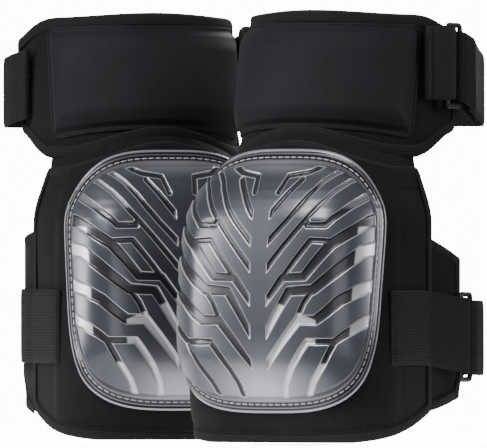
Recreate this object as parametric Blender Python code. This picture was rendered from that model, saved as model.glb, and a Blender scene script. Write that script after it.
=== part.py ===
"""A pair of worn knee pads: clear moulded caps on padded fabric bodies, thigh panels and webbing straps.

Units are metres, +Z up. The origin lies midway between the two leg axes, level with the middle of the caps.
Both pads are one design, placed twice. In a pad's own frame the origin is on the leg axis, -Y is the front of
the knee and +X is the right-hand side as seen from the front.
"""

import math

import bmesh
import bpy
import numpy as np
from mathutils import Vector

MM = 0.001
GAP = 0.3 * MM
INNER_GAP = 0.8 * MM

# Where the two pads stand
LEG_SPACING = 146 * MM
STEP_FORWARD = 172 * MM
TURN = {"left": math.radians(18), "right": math.radians(-29)}

# Knee body: a rounded section about a centre in front of the leg axis
SECTION_CENTRE = 30 * MM
SECTION_HALF_WIDTH = 75 * MM
FRONT_DEPTHS = ((-105, 99), (-86, 106), (-57, 110), (-20, 111), (22, 110), (50, 105), (68, 95), (80, 85), (92, 76))
BODY_BOTTOM = -105 * MM
BODY_TOP = 90 * MM
COVER_THICKNESS = 1.4 * MM
COVER_GAP = 1.8 * MM
FOAM_THICKNESS = 15 * MM
FOAM_INSET = 3 * MM
GEL_THICKNESS = 5 * MM
LINING_THICKNESS = 1.2 * MM
BINDING_WIDTH = 6.6 * MM
BINDING_THICKNESS = 1.3 * MM

# Clear cap
CAP_HALF_WIDTH = 69 * MM
CAP_HALF_ARC = 88 * MM
CAP_HALF_HEIGHT = 86 * MM
CAP_CORNER = 54 * MM
CAP_FLANGE = 6 * MM
CAP_WALL = 9 * MM
CAP_DOME = 12 * MM
CAP_THICKNESS = 2 * MM
CAP_SEAT = 1.7 * MM
CAP_CELLS = 14
THREAD_RADIUS = 0.5 * MM
THREAD_LIFT = 1.6 * MM
THREAD_INSET = 2.6 * MM

# Calf wings
WING_THICKNESS = 3 * MM
WING_TOP = 27 * MM
LEFT_WING_PLAN = ((-73, -29.4), (-72.6, -14), (-70.5, 0), (-67.5, 10))
RIGHT_WING_PLAN = ((73, -29.4), (74.3, -17), (74.8, -5), (74.5, 8))

# Thigh panel, on a cylinder that leans back
THIGH_RADIUS = 71 * MM
THIGH_LEAN = math.tan(math.radians(10))
THIGH_BASE = 95 * MM
WING_END = math.radians(98)
PANEL_FOAM = 5 * MM
POCKET_HALF_ANGLE = math.radians(66)
POCKET_BOTTOM = 95 * MM
POCKET_TOP = 164.5 * MM
POCKET_FOAM = 8 * MM
POCKET_CLOTH = 1.2 * MM

# Straps, rings and their hook-and-loop ends
STRAP_THICKNESS = 2.2 * MM
CALF_STRAP_LOW = -55 * MM
CALF_STRAP_HIGH = -6 * MM
THIGH_STRAP_LOW = 104 * MM
THIGH_STRAP_HIGH = 150 * MM
RING_BAR = 1.8 * MM
RING_LENGTH = 15 * MM
RING_MARGIN = 4.5 * MM
TURN_RADIUS = 4.6 * MM
TAPE_THICKNESS = 1.2 * MM
TAPE_GAP = 0.5 * MM

# Where the thigh panel folds against the knee body
FOLD_PIVOT = Vector((0, -45 * MM, 90 * MM))


def clear_scene():
    for obj in list(bpy.data.objects):
        bpy.data.objects.remove(obj, do_unlink=True)


def material(name, colour, roughness, metallic=0.0):
    made = bpy.data.materials.new(name)
    made.use_nodes = True
    shader = made.node_tree.nodes["Principled BSDF"]
    shader.inputs["Base Color"].default_value = (*colour, 1)
    shader.inputs["Roughness"].default_value = roughness
    shader.inputs["Metallic"].default_value = metallic
    return made


def lerp(start, end, t):
    return start + (end - start) * t


def smooth(t):
    t = min(max(t, 0.0), 1.0)
    return t * t * (3 - 2 * t)


# Surfaces


def front_depth(z):
    levels, depths = zip(*FRONT_DEPTHS)
    near = [np.interp(z / MM + shift, levels, depths) for shift in (-9, -3, 3, 9)]
    return float(sum(near)) / len(near) * MM


def half_width(z):
    return SECTION_HALF_WIDTH - 11 * MM * smooth((z - 38 * MM) / (45 * MM))


def section_power(z):
    return 3.75 - 0.75 * min(max(z / (50 * MM), -1), 1)


def body_point(fraction, z, offset, reach=1.0):
    """A point of the knee body's section: its fraction of the arc that runs from the front to this share of the width."""
    power = 2 / section_power(z)
    width = half_width(z) + offset
    depth = front_depth(z) - SECTION_CENTRE + offset
    last = math.asin(reach ** (1 / power))
    angles = np.linspace(0, 1, 81) ** 1.5 * last
    xs = width * np.sin(angles) ** power
    ys = depth * np.cos(angles).clip(0) ** power
    steps = np.hypot(np.diff(xs), np.diff(ys))
    length = np.concatenate([[0], np.cumsum(steps)])
    at = abs(fraction) * length[-1]
    side = 1 if fraction >= 0 else -1
    return Vector((side * float(np.interp(at, length, xs)), -SECTION_CENTRE - float(np.interp(at, length, ys)), z))


def thigh_point(angle, z, offset):
    """A point of the thigh panel: angle 0 is its front, positive towards the right."""
    radius = THIGH_RADIUS + offset
    back = THIGH_LEAN * (z - THIGH_BASE)
    return Vector((radius * math.sin(angle), back - radius * math.cos(angle), z))


def rounded(u, v, half_u, half_v, corner_u, corner_v):
    """Maps the square -1..1 onto a rectangle of these half sides with elliptical corners."""
    x, y = u * half_u, v * half_v
    s = (abs(x) - half_u + corner_u) / corner_u
    t = (abs(y) - half_v + corner_v) / corner_v
    if s <= 0 or t <= 0:
        return x, y
    inner_x = half_u - corner_u + corner_u * s * math.sqrt(1 - t * t / 2)
    inner_y = half_v - corner_v + corner_v * t * math.sqrt(1 - s * s / 2)
    return math.copysign(inner_x, x), math.copysign(inner_y, y)


class Plan:
    """A smooth path seen from above, through points in millimetres, walked by its length.

    out is 1 where the outside lies to the left of the way along, and -1 where it lies to the right.
    """

    def __init__(self, points, out):
        self.out = out
        ends = [points[0], *points, points[-1]]
        knots = [np.array(p, float) * MM for p in ends]
        walked = []
        for before, start, end, after in zip(knots, knots[1:], knots[2:], knots[3:]):
            for t in np.linspace(0, 1, 12, endpoint=False):
                cubic = 2 * start + (end - before) * t
                cubic = cubic + (2 * before - 5 * start + 4 * end - after) * t**2
                cubic = cubic + (3 * start - before - 3 * end + after) * t**3
                walked.append(cubic / 2)
        walked.append(knots[-1])
        self.points = np.array(walked)
        steps = np.hypot(*np.diff(self.points, axis=0).T)
        self.length = np.concatenate([[0], np.cumsum(steps)])

    def at(self, t, offset=0.0):
        """The point at this fraction of the length, moved outwards by offset."""
        here = self.place(t)
        ahead = self.place(min(t + 0.004, 1)) - self.place(max(t - 0.004, 0))
        ahead /= np.hypot(*ahead)
        offset *= self.out
        return Vector((here[0] - ahead[1] * offset, here[1] + ahead[0] * offset))

    def place(self, t):
        at = t * self.length[-1]
        return np.array([np.interp(at, self.length, self.points[:, i]) for i in (0, 1)])


# Solids


def slab(across, along, place):
    """A closed sheet. place(u, v, w) gives its outer face at w = 0 and its inner face at w = 1."""
    bm = bmesh.new()
    bmesh.ops.create_grid(bm, x_segments=across, y_segments=along, size=0.5)
    outer = list(bm.verts)
    twin = bmesh.ops.duplicate(bm, geom=bm.verts[:] + bm.edges[:] + bm.faces[:])["geom"]
    inner = [part for part in twin if isinstance(part, bmesh.types.BMVert)]
    bmesh.ops.reverse_faces(bm, faces=[part for part in twin if isinstance(part, bmesh.types.BMFace)])
    bmesh.ops.translate(bm, verts=inner, vec=(0, 0, -0.1))
    bmesh.ops.bridge_loops(bm, edges=[edge for edge in bm.edges if edge.is_boundary])
    for w, group in ((0, outer), (1, inner)):
        for vert in group:
            vert.co = place(vert.co.x + 0.5, vert.co.y + 0.5, w)
    bmesh.ops.recalc_face_normals(bm, faces=bm.faces[:])
    if bm.calc_volume(signed=True) < 0:
        bmesh.ops.reverse_faces(bm, faces=bm.faces[:])
    mesh = bpy.data.meshes.new("slab")
    bm.to_mesh(mesh)
    bm.free()
    return mesh


def tube(points, radius, sides=1, cyclic=True):
    """A round bar along the points."""
    curve = bpy.data.curves.new("tube", "CURVE")
    curve.dimensions = "3D"
    curve.bevel_depth = radius
    curve.bevel_resolution = sides
    curve.use_fill_caps = not cyclic
    spline = curve.splines.new("POLY")
    spline.points.add(len(points) - 1)
    for knot, point in zip(spline.points, points):
        knot.co = (*point, 1)
    spline.use_cyclic_u = cyclic
    return curve


# Knee body


def body_bottom(fraction):
    return BODY_BOTTOM + 21 * MM * abs(fraction) ** 3


def body_top(fraction):
    return BODY_TOP - 17 * MM * smooth(abs(fraction) / 0.8)


def body_place(u, v, offset):
    fraction = lerp(-1, 1, u)
    return body_point(fraction, lerp(body_bottom(fraction), body_top(fraction), v), offset)


def swell(fraction, z):
    """How much of the padding's thickness a place has: all of it at the kneecap, little at the edges."""
    across = 1 - smooth((abs(fraction) - 0.35) / 0.6)
    low = smooth((z - BODY_BOTTOM) / (45 * MM))
    high = smooth((BODY_TOP - z) / (45 * MM))
    return 0.3 + 0.7 * across * low * high


def padding(fraction, z):
    return -COVER_THICKNESS - COVER_GAP - FOAM_THICKNESS * swell(fraction, z)


def gel_share(fraction, z):
    """The gel's share of its full thickness: none outside its outline."""
    across = 1 - smooth((abs(fraction) - 0.25) / 0.3)
    up = 1 - smooth((abs(z + 4 * MM) - 38 * MM) / (32 * MM))
    return across * up


def knee_cover():
    return slab(14, 10, lambda u, v, w: body_place(u, v, -COVER_THICKNESS * w))


def foam_core():
    def place(u, v, w):
        fraction = lerp(-1, 1, u) * 0.97
        z = lerp(body_bottom(fraction) + FOAM_INSET, body_top(fraction) - FOAM_INSET, v)
        outer = -COVER_THICKNESS - COVER_GAP
        return body_point(fraction, z, lerp(outer, padding(fraction, z), w))

    return slab(12, 8, place)


def gel_insert():
    def place(u, v, w):
        across, up = rounded(lerp(-1, 1, u), lerp(-1, 1, v), 1, 1, 0.6, 0.6)
        fraction, z = across * 0.42, up * 52 * MM - 4 * MM
        outer = padding(fraction, z) - INNER_GAP - GAP
        return body_point(fraction, z, outer - w * (0.8 * MM + GEL_THICKNESS * gel_share(fraction, z)))

    return slab(6, 8, place)


def knee_lining():
    def place(u, v, w):
        fraction = lerp(-1, 1, u) * 0.985
        z = lerp(body_bottom(fraction) + 1.5 * MM, body_top(fraction) - 1.5 * MM, v)
        near = 1 - smooth((abs(fraction) - 0.42) / 0.2)
        near *= 1 - smooth((abs(z + 4 * MM) - 52 * MM) / (18 * MM))
        behind = padding(fraction, z) - INNER_GAP - (GEL_THICKNESS + 2.4 * MM) * near
        return body_point(fraction, z, behind - w * LINING_THICKNESS)

    return slab(12, 8, place)


def hem_binding():
    """The tape along the lower edge, laid on the cover from one side edge to the other."""

    def place(u, v, w):
        fraction = lerp(-1, 1, u) * 0.995
        z = body_bottom(fraction) + v * BINDING_WIDTH + 0.4 * MM
        return body_point(fraction, z, INNER_GAP + BINDING_THICKNESS * (1 - w))

    return slab(20, 1, place)


# Cap


def cap_rise(u, v):
    """The dome's height over the flange at a place of the cap's square -1..1."""
    from_side = (1 - abs(u)) * CAP_HALF_ARC
    from_end = (1 - abs(v)) * CAP_HALF_HEIGHT
    corner = math.hypot(max(0.0, 26 * MM - from_side), max(0.0, 26 * MM - from_end))
    inward = 26 * MM - corner
    wall = smooth((inward - CAP_FLANGE) / CAP_WALL)
    crown = smooth(inward / (26 * MM))
    return CAP_DOME * (0.72 * wall + 0.28 * crown)


def cap_line(t, half):
    """Spaces the cap's grid so that one cell is the flange, the next is the dome's wall and the rest its top."""
    lines = [0, 1 - 4 / CAP_CELLS, 1 - 2 / CAP_CELLS, 1]
    places = [0, 1 - (CAP_FLANGE + CAP_WALL) / half, 1 - CAP_FLANGE / half, 1]
    return math.copysign(float(np.interp(abs(t), lines, places)), t)


def cap_surface(u, v, offset):
    across, up = rounded(u, v, CAP_HALF_WIDTH, CAP_HALF_HEIGHT, CAP_CORNER, CAP_CORNER)
    return body_point(across / CAP_HALF_WIDTH, up, offset, CAP_HALF_WIDTH / SECTION_HALF_WIDTH)


def knee_cap():
    def place(u, v, w):
        u, v = cap_line(lerp(-1, 1, u), CAP_HALF_ARC), cap_line(lerp(-1, 1, v), CAP_HALF_HEIGHT)
        return cap_surface(u, v, CAP_SEAT + cap_rise(u, v) + CAP_THICKNESS * (1 - w))

    return slab(CAP_CELLS, CAP_CELLS, place)


def cap_backing():
    """The dark moulded filler between the cover and the dome."""

    reach = 1 - 4 / CAP_CELLS

    def place(u, v, w):
        u = cap_line(lerp(-reach, reach, u), CAP_HALF_ARC)
        v = cap_line(lerp(-reach, reach, v), CAP_HALF_HEIGHT)
        return cap_surface(u, v, CAP_SEAT + GAP + (cap_rise(u, v) - 2 * GAP) * (1 - w))

    return slab(CAP_CELLS - 4, CAP_CELLS - 4, place)


def cap_stitching():
    """The seam's thread, a closed ring on the flange."""
    points = []
    steps = 12
    across, up = 1 - THREAD_INSET / CAP_HALF_ARC, 1 - THREAD_INSET / CAP_HALF_HEIGHT
    for side in range(4):
        for i in range(steps):
            t = lerp(-1, 1, i / steps)
            u, v = ((t * across, -up), (across, t * up), (-t * across, up), (-across, -t * up))[side]
            points.append(cap_surface(u, v, CAP_SEAT + CAP_THICKNESS + cap_rise(u, v) + THREAD_LIFT))
    return tube(points, THREAD_RADIUS, sides=0)


# Calf wings and straps


def calf_wing(plan, low_end, high_end):
    def place(u, v, w):
        low = lerp(body_bottom(1), low_end, u)
        high = lerp(WING_TOP, high_end, u)
        spot = plan.at(u, WING_THICKNESS * (0.5 - w))
        return Vector((*spot, lerp(low, high, v)))

    return slab(5, 4, place)


def wing_binding(plan, low_end, high_end):
    """The tape along the wing's top edge, laid on its outer face."""

    def place(u, v, w):
        high = lerp(WING_TOP, high_end, u)
        spot = plan.at(u, WING_THICKNESS / 2 + GAP + BINDING_THICKNESS * (1 - w))
        return Vector((*spot, high - BINDING_WIDTH * (1 - v)))

    return slab(6, 1, place)


def band(plan, thickness, low, high, steps, slope):
    """Webbing on edge along a plan path, between two heights. slope(x, y) gives how far it stands above them."""

    def place(u, v, w):
        return Vector((*plan.at(u, thickness * (0.5 - w)), lerp(low, high, v) + slope(*plan.at(u))))

    return slab(steps, 1, place)


def arc(centre, radius, start, end, steps):
    """Points of an arc in plan, in millimetres and degrees."""
    turn = [math.radians(lerp(start, end, i / steps)) for i in range(steps + 1)]
    return [(centre[0] + radius * math.cos(a), centre[1] + radius * math.sin(a)) for a in turn]


class StrapSet:
    """One strap round the back of the leg: its tab, its ring, its run and the folded-back end with its two tapes.

    tab and run are plan points in millimetres: the tab from its front seam, the run from its sewn end on the left
    round the back. Both end at the ring, whose heading in degrees points from its front bar to its back bar.
    slope(x, y) is how far the strap stands above its low and high edges there.
    """

    def __init__(self, tab, run, ring, heading, flap_length, patch_length, low, high, slope):
        across = RING_LENGTH / MM / 2
        turn = TURN_RADIUS / MM
        way = np.array([math.cos(math.radians(heading)), math.sin(math.radians(heading))])
        out = np.array([way[1], -way[0]])
        self.front_bar = np.array(ring, float) - way * across
        self.back_bar = np.array(ring, float) + way * across
        self.low, self.high, self.slope = low, high, slope
        self.rise = slope(*np.array(ring) * MM)
        tab_turn = arc(self.front_bar, turn, heading - 90, heading + 90, 6)
        tab_end = [tuple(self.front_bar - out * turn - way * back) for back in (3, 7)]
        self.tab_plan = Plan([*tab, *tab_turn, *tab_end], -1)
        run_turn = arc(self.back_bar, turn, heading + 90, heading + 270, 6)
        run_end = [tuple(self.back_bar + out * turn + way * back) for back in (4, 9)]
        self.run_plan = Plan([*run, *run_turn, *run_end], 1)
        self.base = Plan([*run, run_turn[0]], 1)
        stack = STRAP_THICKNESS + 2 * TAPE_THICKNESS + 3 * TAPE_GAP
        self.flap_start = self.back_bar + out * turn + way * (9 + 4 * GAP / MM)
        along = [self.beside(back, stack) for back in np.arange(24, flap_length, 10)]
        self.flap_plan = Plan([tuple(self.flap_start), *along], -1)
        self.middle = (low + high) / 2 + self.rise
        self.hinge = Vector((*((self.flap_start + out * STRAP_THICKNESS / MM / 2) * MM), self.middle))
        tape = STRAP_THICKNESS / 2 + TAPE_GAP + TAPE_THICKNESS / 2
        patch = [self.beside(back, tape) for back in np.arange(18, patch_length, 10)]
        self.patch_plan = Plan(patch, -1)
        hook = [self.beside(back, stack - tape) for back in np.arange(28, flap_length - 6, 8)]
        self.hook_plan = Plan(hook, -1)

    def beside(self, back, offset):
        """The plan point this far back from the ring along the run, moved outwards by offset, in millimetres."""
        t = 1 - back * MM / self.base.length[-1]
        return tuple(np.array(self.base.at(t, offset)) / MM)

    def strip(self, plan, thickness, margin, steps):
        return band(plan, thickness, self.low + margin, self.high - margin, steps, self.slope)

    def tab(self):
        return self.strip(self.tab_plan, STRAP_THICKNESS, 0, 18)

    def run(self):
        return self.strip(self.run_plan, STRAP_THICKNESS, 0, 44)

    def flap(self):
        return self.strip(self.flap_plan, STRAP_THICKNESS, 0, 8)

    def hook_tape(self):
        return self.strip(self.hook_plan, TAPE_THICKNESS, 4 * MM, 4)

    def loop_patch(self):
        return self.strip(self.patch_plan, TAPE_THICKNESS, 3 * MM, 7)

    def ring(self):
        """A rectangle of round bar with short corners."""
        low, high = self.low + self.rise - RING_MARGIN, self.high + self.rise + RING_MARGIN
        corner = 2.5 * MM
        span = RING_LENGTH
        middles = ((corner, low, 180), (span - corner, low, 270), (span - corner, high, 0), (corner, high, 90))
        points = []
        for along, height, start in middles:
            inside = height + corner if height == low else height - corner
            for turn in (0, 45, 90):
                angle = math.radians(start + turn)
                reach = (along + corner * math.cos(angle)) / span
                spot = lerp(self.front_bar, self.back_bar, reach) * MM
                points.append((*spot, inside + corner * math.sin(angle)))
        return tube(points, RING_BAR)


def side_points(sign, fractions, height, clearance):
    """Plan points on the knee body's side, in millimetres."""
    return [tuple(body_point(sign * f, height, clearance).xy / MM) for f in fractions]


def round_points(places):
    """Plan points from angles in degrees about the leg axis, 0 at the front, and radii in millimetres."""
    return [(r * math.sin(math.radians(a)), -r * math.cos(math.radians(a))) for a, r in places]


def calf_slope(x, y):
    """The calf strap runs level from its sewn end and falls a little towards its ring."""
    return -7 * MM * smooth((y + 45 * MM) / (60 * MM)) * smooth((x + 60 * MM) / (120 * MM))


def thigh_slope(x, y):
    """The thigh strap stands highest at its tab and falls round both sides to the back."""
    if x > 0:
        return 14 * MM - 17 * MM * smooth((y + 12 * MM) / (60 * MM))
    return 4 * MM - 7 * MM * smooth((y + 24 * MM) / (54 * MM))


def calf_strap_set():
    on_body = GAP + STRAP_THICKNESS / 2
    left = side_points(-1, (0.73, 0.82, 0.91, 0.99), CALF_STRAP_LOW, on_body)
    right = side_points(1, (0.73, 0.82, 0.91, 0.99), CALF_STRAP_LOW, on_body)
    back = [(-77.3, -15), (-74.6, 0), (-70.5, 12), (-60, 29), (-42, 47), (-15, 58), (15, 58.5), (42, 49), (63, 36)]
    tab = [*right, (79.4, -24), (83.4, -14)]
    return StrapSet(tab, [*left, *back], (83.8, 2.5), 95, 62, 92, CALF_STRAP_LOW, CALF_STRAP_HIGH, calf_slope)


def thigh_strap_set():
    back = ((-72, 72.9), (-80, 73.6), (-88, 76.5), (-98, 80.5), (-110, 83), (-132, 84), (-156, 83), (-180, 82))
    right = ((156, 82), (136, 81.5), (120, 80.5), (108, 78.5))
    tab = round_points(((68.5, 73.2), (72.5, 74), (76, 79)))
    ring = round_points(((86, 79.6),))[0]
    run = round_points(back + right)
    return StrapSet(tab, run, ring, 86, 76, 108, THIGH_STRAP_LOW, THIGH_STRAP_HIGH, thigh_slope)


# Thigh panel


def panel_bottom(angle):
    dip = smooth(abs(angle) / math.radians(55))
    lift = smooth((abs(angle) - math.radians(66)) / math.radians(28))
    return THIGH_BASE - 13 * MM * dip + 16 * MM * lift


def panel_top(angle):
    return 175 * MM - 3 * MM * smooth(abs(angle) / math.radians(60)) - 13 * MM * smooth(
        (abs(angle) - math.radians(60)) / math.radians(36)
    )


def panel_place(u, v, offset, inset=0.0):
    angle = lerp(-1, 1, u) * (WING_END - inset / THIGH_RADIUS)
    low, high = panel_bottom(angle) + inset, panel_top(angle) - inset
    return thigh_point(angle, lerp(low, high, v), offset)


def thigh_panel():
    return slab(16, 3, lambda u, v, w: panel_place(u, v, -COVER_THICKNESS * w))


def thigh_foam():
    outer = -COVER_THICKNESS - INNER_GAP
    return slab(14, 2, lambda u, v, w: panel_place(u, v, outer - PANEL_FOAM * w, 4 * MM))


def thigh_lining():
    outer = -COVER_THICKNESS - 2 * INNER_GAP - PANEL_FOAM
    return slab(14, 2, lambda u, v, w: panel_place(u, v, outer - LINING_THICKNESS * w, 1 * MM))


def pocket_bounds(u, v):
    across, up = rounded(lerp(-1, 1, u), lerp(-1, 1, v), 1, 1, 0.1, 0.2)
    angle = across * POCKET_HALF_ANGLE
    low = POCKET_BOTTOM + 8 * MM - 8 * MM * abs(across) ** 2
    return angle, lerp(low, POCKET_TOP, (up + 1) / 2), across, up


def pocket_puff(across, up):
    return math.sqrt(max(0.0, 1 - across**4)) * math.sqrt(max(0.0, 1 - up**4))


def thigh_pocket():
    """The quilted pocket's fabric, open towards the panel where its foam lies."""

    def place(u, v, w):
        angle, z, across, up = pocket_bounds(u, v)
        foam = POCKET_FOAM * pocket_puff(across / 0.97, up / 0.94)
        return thigh_point(angle, z, INNER_GAP + foam + (1 - w) * POCKET_CLOTH)

    return slab(14, 5, place)


def pocket_foam():
    def place(u, v, w):
        angle, z, across, up = pocket_bounds(lerp(0.1, 0.9, u), lerp(0.14, 0.86, v))
        foam = POCKET_FOAM * pocket_puff(across / 0.97, up / 0.94) - 2 * INNER_GAP
        return thigh_point(angle, z, INNER_GAP + foam * (1 - w))

    return slab(12, 4, place)


def panel_binding(edge, inward):
    """The tape along the panel's top or bottom edge, laid on its outer face."""

    def place(u, v, w):
        angle = lerp(-1, 1, u) * (WING_END - 0.01)
        z = edge(angle) + inward * BINDING_WIDTH * (v if inward > 0 else 1 - v)
        return thigh_point(angle, z, INNER_GAP + BINDING_THICKNESS * (1 - w))

    return slab(20, 1, place)


# Assembly

BLACK_CLOTH = ("black_cloth", (0.012, 0.012, 0.014), 0.85)
BLACK_TWILL = ("black_twill", (0.02, 0.019, 0.023), 0.75)
BLACK_ELASTIC = ("black_elastic", (0.014, 0.014, 0.016), 0.9)
CLEAR_PLASTIC = ("clear_plastic", (0.55, 0.56, 0.6), 0.15)
DARK_FILLER = ("dark_filler", (0.05, 0.05, 0.06), 0.5)
THREAD = ("thread", (0.25, 0.25, 0.27), 0.7)
FOAM = ("foam", (0.08, 0.08, 0.09), 0.95)
GEL = ("gel", (0.2, 0.32, 0.45), 0.3)
LINING = ("lining", (0.03, 0.03, 0.033), 0.9)
RING_PLASTIC = ("ring_plastic", (0.01, 0.01, 0.011), 0.45)
TAPE = ("tape", (0.01, 0.01, 0.011), 0.95)


def left_wing():
    return calf_wing(Plan(LEFT_WING_PLAN, 1), -74 * MM, 22 * MM)


def right_wing():
    return calf_wing(Plan(RIGHT_WING_PLAN, -1), -76 * MM, 14 * MM)


def left_wing_binding():
    return wing_binding(Plan(LEFT_WING_PLAN, 1), -74 * MM, 22 * MM)


def right_wing_binding():
    return wing_binding(Plan(RIGHT_WING_PLAN, -1), -76 * MM, 14 * MM)


def pieces():
    """Every piece of one pad: its name, what it turns with, its shape and its finish."""
    calf, thigh = calf_strap_set(), thigh_strap_set()
    return (
        ("knee_cover", "knee", knee_cover(), BLACK_CLOTH),
        ("foam_core", "knee", foam_core(), FOAM),
        ("gel_insert", "knee", gel_insert(), GEL),
        ("knee_lining", "knee", knee_lining(), LINING),
        ("hem_binding", "knee", hem_binding(), BLACK_TWILL),
        ("knee_cap", "knee", knee_cap(), CLEAR_PLASTIC),
        ("cap_backing", "knee", cap_backing(), DARK_FILLER),
        ("cap_stitching", "knee", cap_stitching(), THREAD),
        ("calf_wing_left", "knee", left_wing(), BLACK_CLOTH),
        ("calf_wing_right", "knee", right_wing(), BLACK_CLOTH),
        ("wing_binding_left", "knee", left_wing_binding(), BLACK_TWILL),
        ("wing_binding_right", "knee", right_wing_binding(), BLACK_TWILL),
        ("calf_tab", "knee", calf.tab(), BLACK_ELASTIC),
        ("calf_strap", "knee", calf.run(), BLACK_ELASTIC),
        ("calf_loop_patch", "knee", calf.loop_patch(), TAPE),
        ("calf_ring", "calf_ring", calf.ring(), RING_PLASTIC),
        ("calf_strap_end", "calf_flap", calf.flap(), BLACK_ELASTIC),
        ("calf_hook_tape", "calf_flap", calf.hook_tape(), TAPE),
        ("thigh_panel", "thigh", thigh_panel(), BLACK_CLOTH),
        ("thigh_foam", "thigh", thigh_foam(), FOAM),
        ("thigh_lining", "thigh", thigh_lining(), LINING),
        ("thigh_pocket", "thigh", thigh_pocket(), BLACK_TWILL),
        ("pocket_foam", "thigh", pocket_foam(), FOAM),
        ("thigh_top_binding", "thigh", panel_binding(panel_top, -1), BLACK_TWILL),
        ("thigh_hem_binding", "thigh", panel_binding(panel_bottom, 1), BLACK_TWILL),
        ("thigh_tab", "thigh", thigh.tab(), BLACK_ELASTIC),
        ("thigh_strap", "thigh", thigh.run(), BLACK_ELASTIC),
        ("thigh_loop_patch", "thigh", thigh.loop_patch(), TAPE),
        ("thigh_ring", "thigh_ring", thigh.ring(), RING_PLASTIC),
        ("thigh_strap_end", "thigh_flap", thigh.flap(), BLACK_ELASTIC),
    )


def pivots():
    """Each turning group: what it hangs from, and its pivot in the pad's frame."""
    calf, thigh = calf_strap_set(), thigh_strap_set()
    return {
        "knee": (None, Vector()),
        "thigh": ("knee", FOLD_PIVOT),
        "calf_ring": ("knee", Vector((*(calf.front_bar * MM), calf.middle))),
        "calf_flap": ("knee", calf.hinge),
        "thigh_ring": ("thigh", Vector((*(thigh.front_bar * MM), thigh.middle))),
        "thigh_flap": ("thigh", thigh.hinge),
    }


def place_pad(side, collection, groups, shapes, finishes):
    """One pad: an empty on the leg axis, an empty on each pivot, and the pieces under them."""
    sign = -1 if side == "left" else 1
    empties = {}
    for group, (parent, pivot) in groups.items():
        empty = bpy.data.objects.new(f"{side}_{group}_pivot", None)
        collection.objects.link(empty)
        empties[group] = empty
        if parent is None:
            empty.location = (sign * LEG_SPACING / 2, -sign * STEP_FORWARD / 2, 0)
            empty.rotation_euler.z = TURN[side]
        else:
            empty.parent = empties[parent]
            empty.location = pivot - groups[parent][1]
    for name, group, data, finish in shapes:
        obj = bpy.data.objects.new(f"{side}_{name}", data)
        collection.objects.link(obj)
        obj.parent = empties[group]
        obj.location = -groups[group][1]
        if side == "left":
            obj.data.materials.append(finishes[finish[0]])


def main():
    clear_scene()
    collection = bpy.data.collections.new("knee_pads")
    bpy.context.scene.collection.children.link(collection)
    shapes = pieces()
    finishes = {finish[0]: material(*finish) for *_, finish in shapes}
    groups = pivots()
    for side in ("left", "right"):
        place_pad(side, collection, groups, shapes, finishes)


main()
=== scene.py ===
"""The looks of the pair of knee pads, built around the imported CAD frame.

Each pad is made once, in its own frame, and placed twice. The origin is on the leg axis, -Y is the front of
the knee and +X the right as seen from the front. Lengths are in metres, but plan points and the limits of
ramp() are in millimetres.
"""

import math

import bmesh
import bpy
import numpy as np
from mathutils import Matrix, Vector


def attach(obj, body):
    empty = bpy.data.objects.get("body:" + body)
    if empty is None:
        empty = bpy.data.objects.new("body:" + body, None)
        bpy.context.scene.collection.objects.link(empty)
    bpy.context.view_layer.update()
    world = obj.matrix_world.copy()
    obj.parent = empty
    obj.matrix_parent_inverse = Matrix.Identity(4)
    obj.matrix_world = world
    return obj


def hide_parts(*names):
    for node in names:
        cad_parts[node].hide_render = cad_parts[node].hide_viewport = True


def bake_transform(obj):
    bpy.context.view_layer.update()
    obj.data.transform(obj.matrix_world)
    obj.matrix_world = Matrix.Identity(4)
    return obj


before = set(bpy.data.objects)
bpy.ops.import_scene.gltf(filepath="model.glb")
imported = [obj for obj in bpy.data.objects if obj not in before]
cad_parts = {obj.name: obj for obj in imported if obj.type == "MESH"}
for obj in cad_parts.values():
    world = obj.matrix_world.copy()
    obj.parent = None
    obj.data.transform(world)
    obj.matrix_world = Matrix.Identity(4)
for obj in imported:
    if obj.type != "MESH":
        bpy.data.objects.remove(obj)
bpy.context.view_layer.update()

MM = 0.001
SIDES = ("left", "right")
LEG_SPACING = 146 * MM
STEP_FORWARD = 172 * MM
TURN = {"left": math.radians(18), "right": math.radians(-29)}

# The knee body's section and front, as in the CAD
SECTION_CENTRE = 30 * MM
SECTION_HALF_WIDTH = 75 * MM
FRONT_DEPTHS = (  # height and how far the front stands out, in millimetres
    ((-105, 99), (-86, 106), (-57, 110), (-20, 111), (22, 110))
    + ((50, 105), (68, 95), (80, 85), (92, 76))
)
BODY_BOTTOM = -105 * MM
BODY_TOP = 90 * MM
SIDE_ARC = 135 * MM
KNIT_THICKNESS = 1.4 * MM
LINING_THICKNESS = 1.2 * MM
KNEE_LINING_DEPTH = (1.4 + 1.8 + 0.8) * MM
THIGH_LINING_DEPTH = (1.4 + 0.8 + 5 + 0.8) * MM
HEM_STITCH_HEIGHT = 5.9 * MM
SEAM_STITCH = 0.32 * MM
WING_TOP = 27 * MM

# Cap
CAP_HALF_ARC = 88 * MM
CAP_HALF_HEIGHT = 86 * MM
CAP_ROUNDING = 3.3
CAP_FLANGE = 7.5 * MM
CAP_WALL = 4.5 * MM
CAP_DOME = 12 * MM
CAP_SEAT = 1.7 * MM
CAP_THICKNESS = 2 * MM
CAP_WIDTH_SHARE = 69 / 75
CAP_STITCH_INSET = 5.6 * MM
CAP_STITCH_PITCH = 4.8 * MM
GROOVE_MARGIN = 10.5  # from the rim, in millimetres

# Thigh panel
THIGH_RADIUS = 71 * MM
THIGH_LEAN = math.tan(math.radians(10))
THIGH_BASE = 95 * MM
WING_END = math.radians(98)
POCKET_HALF_ANGLE = math.radians(63)
POCKET_HALF_HEIGHT = 37 * MM
POCKET_CROWN = 7.0 * MM

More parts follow.
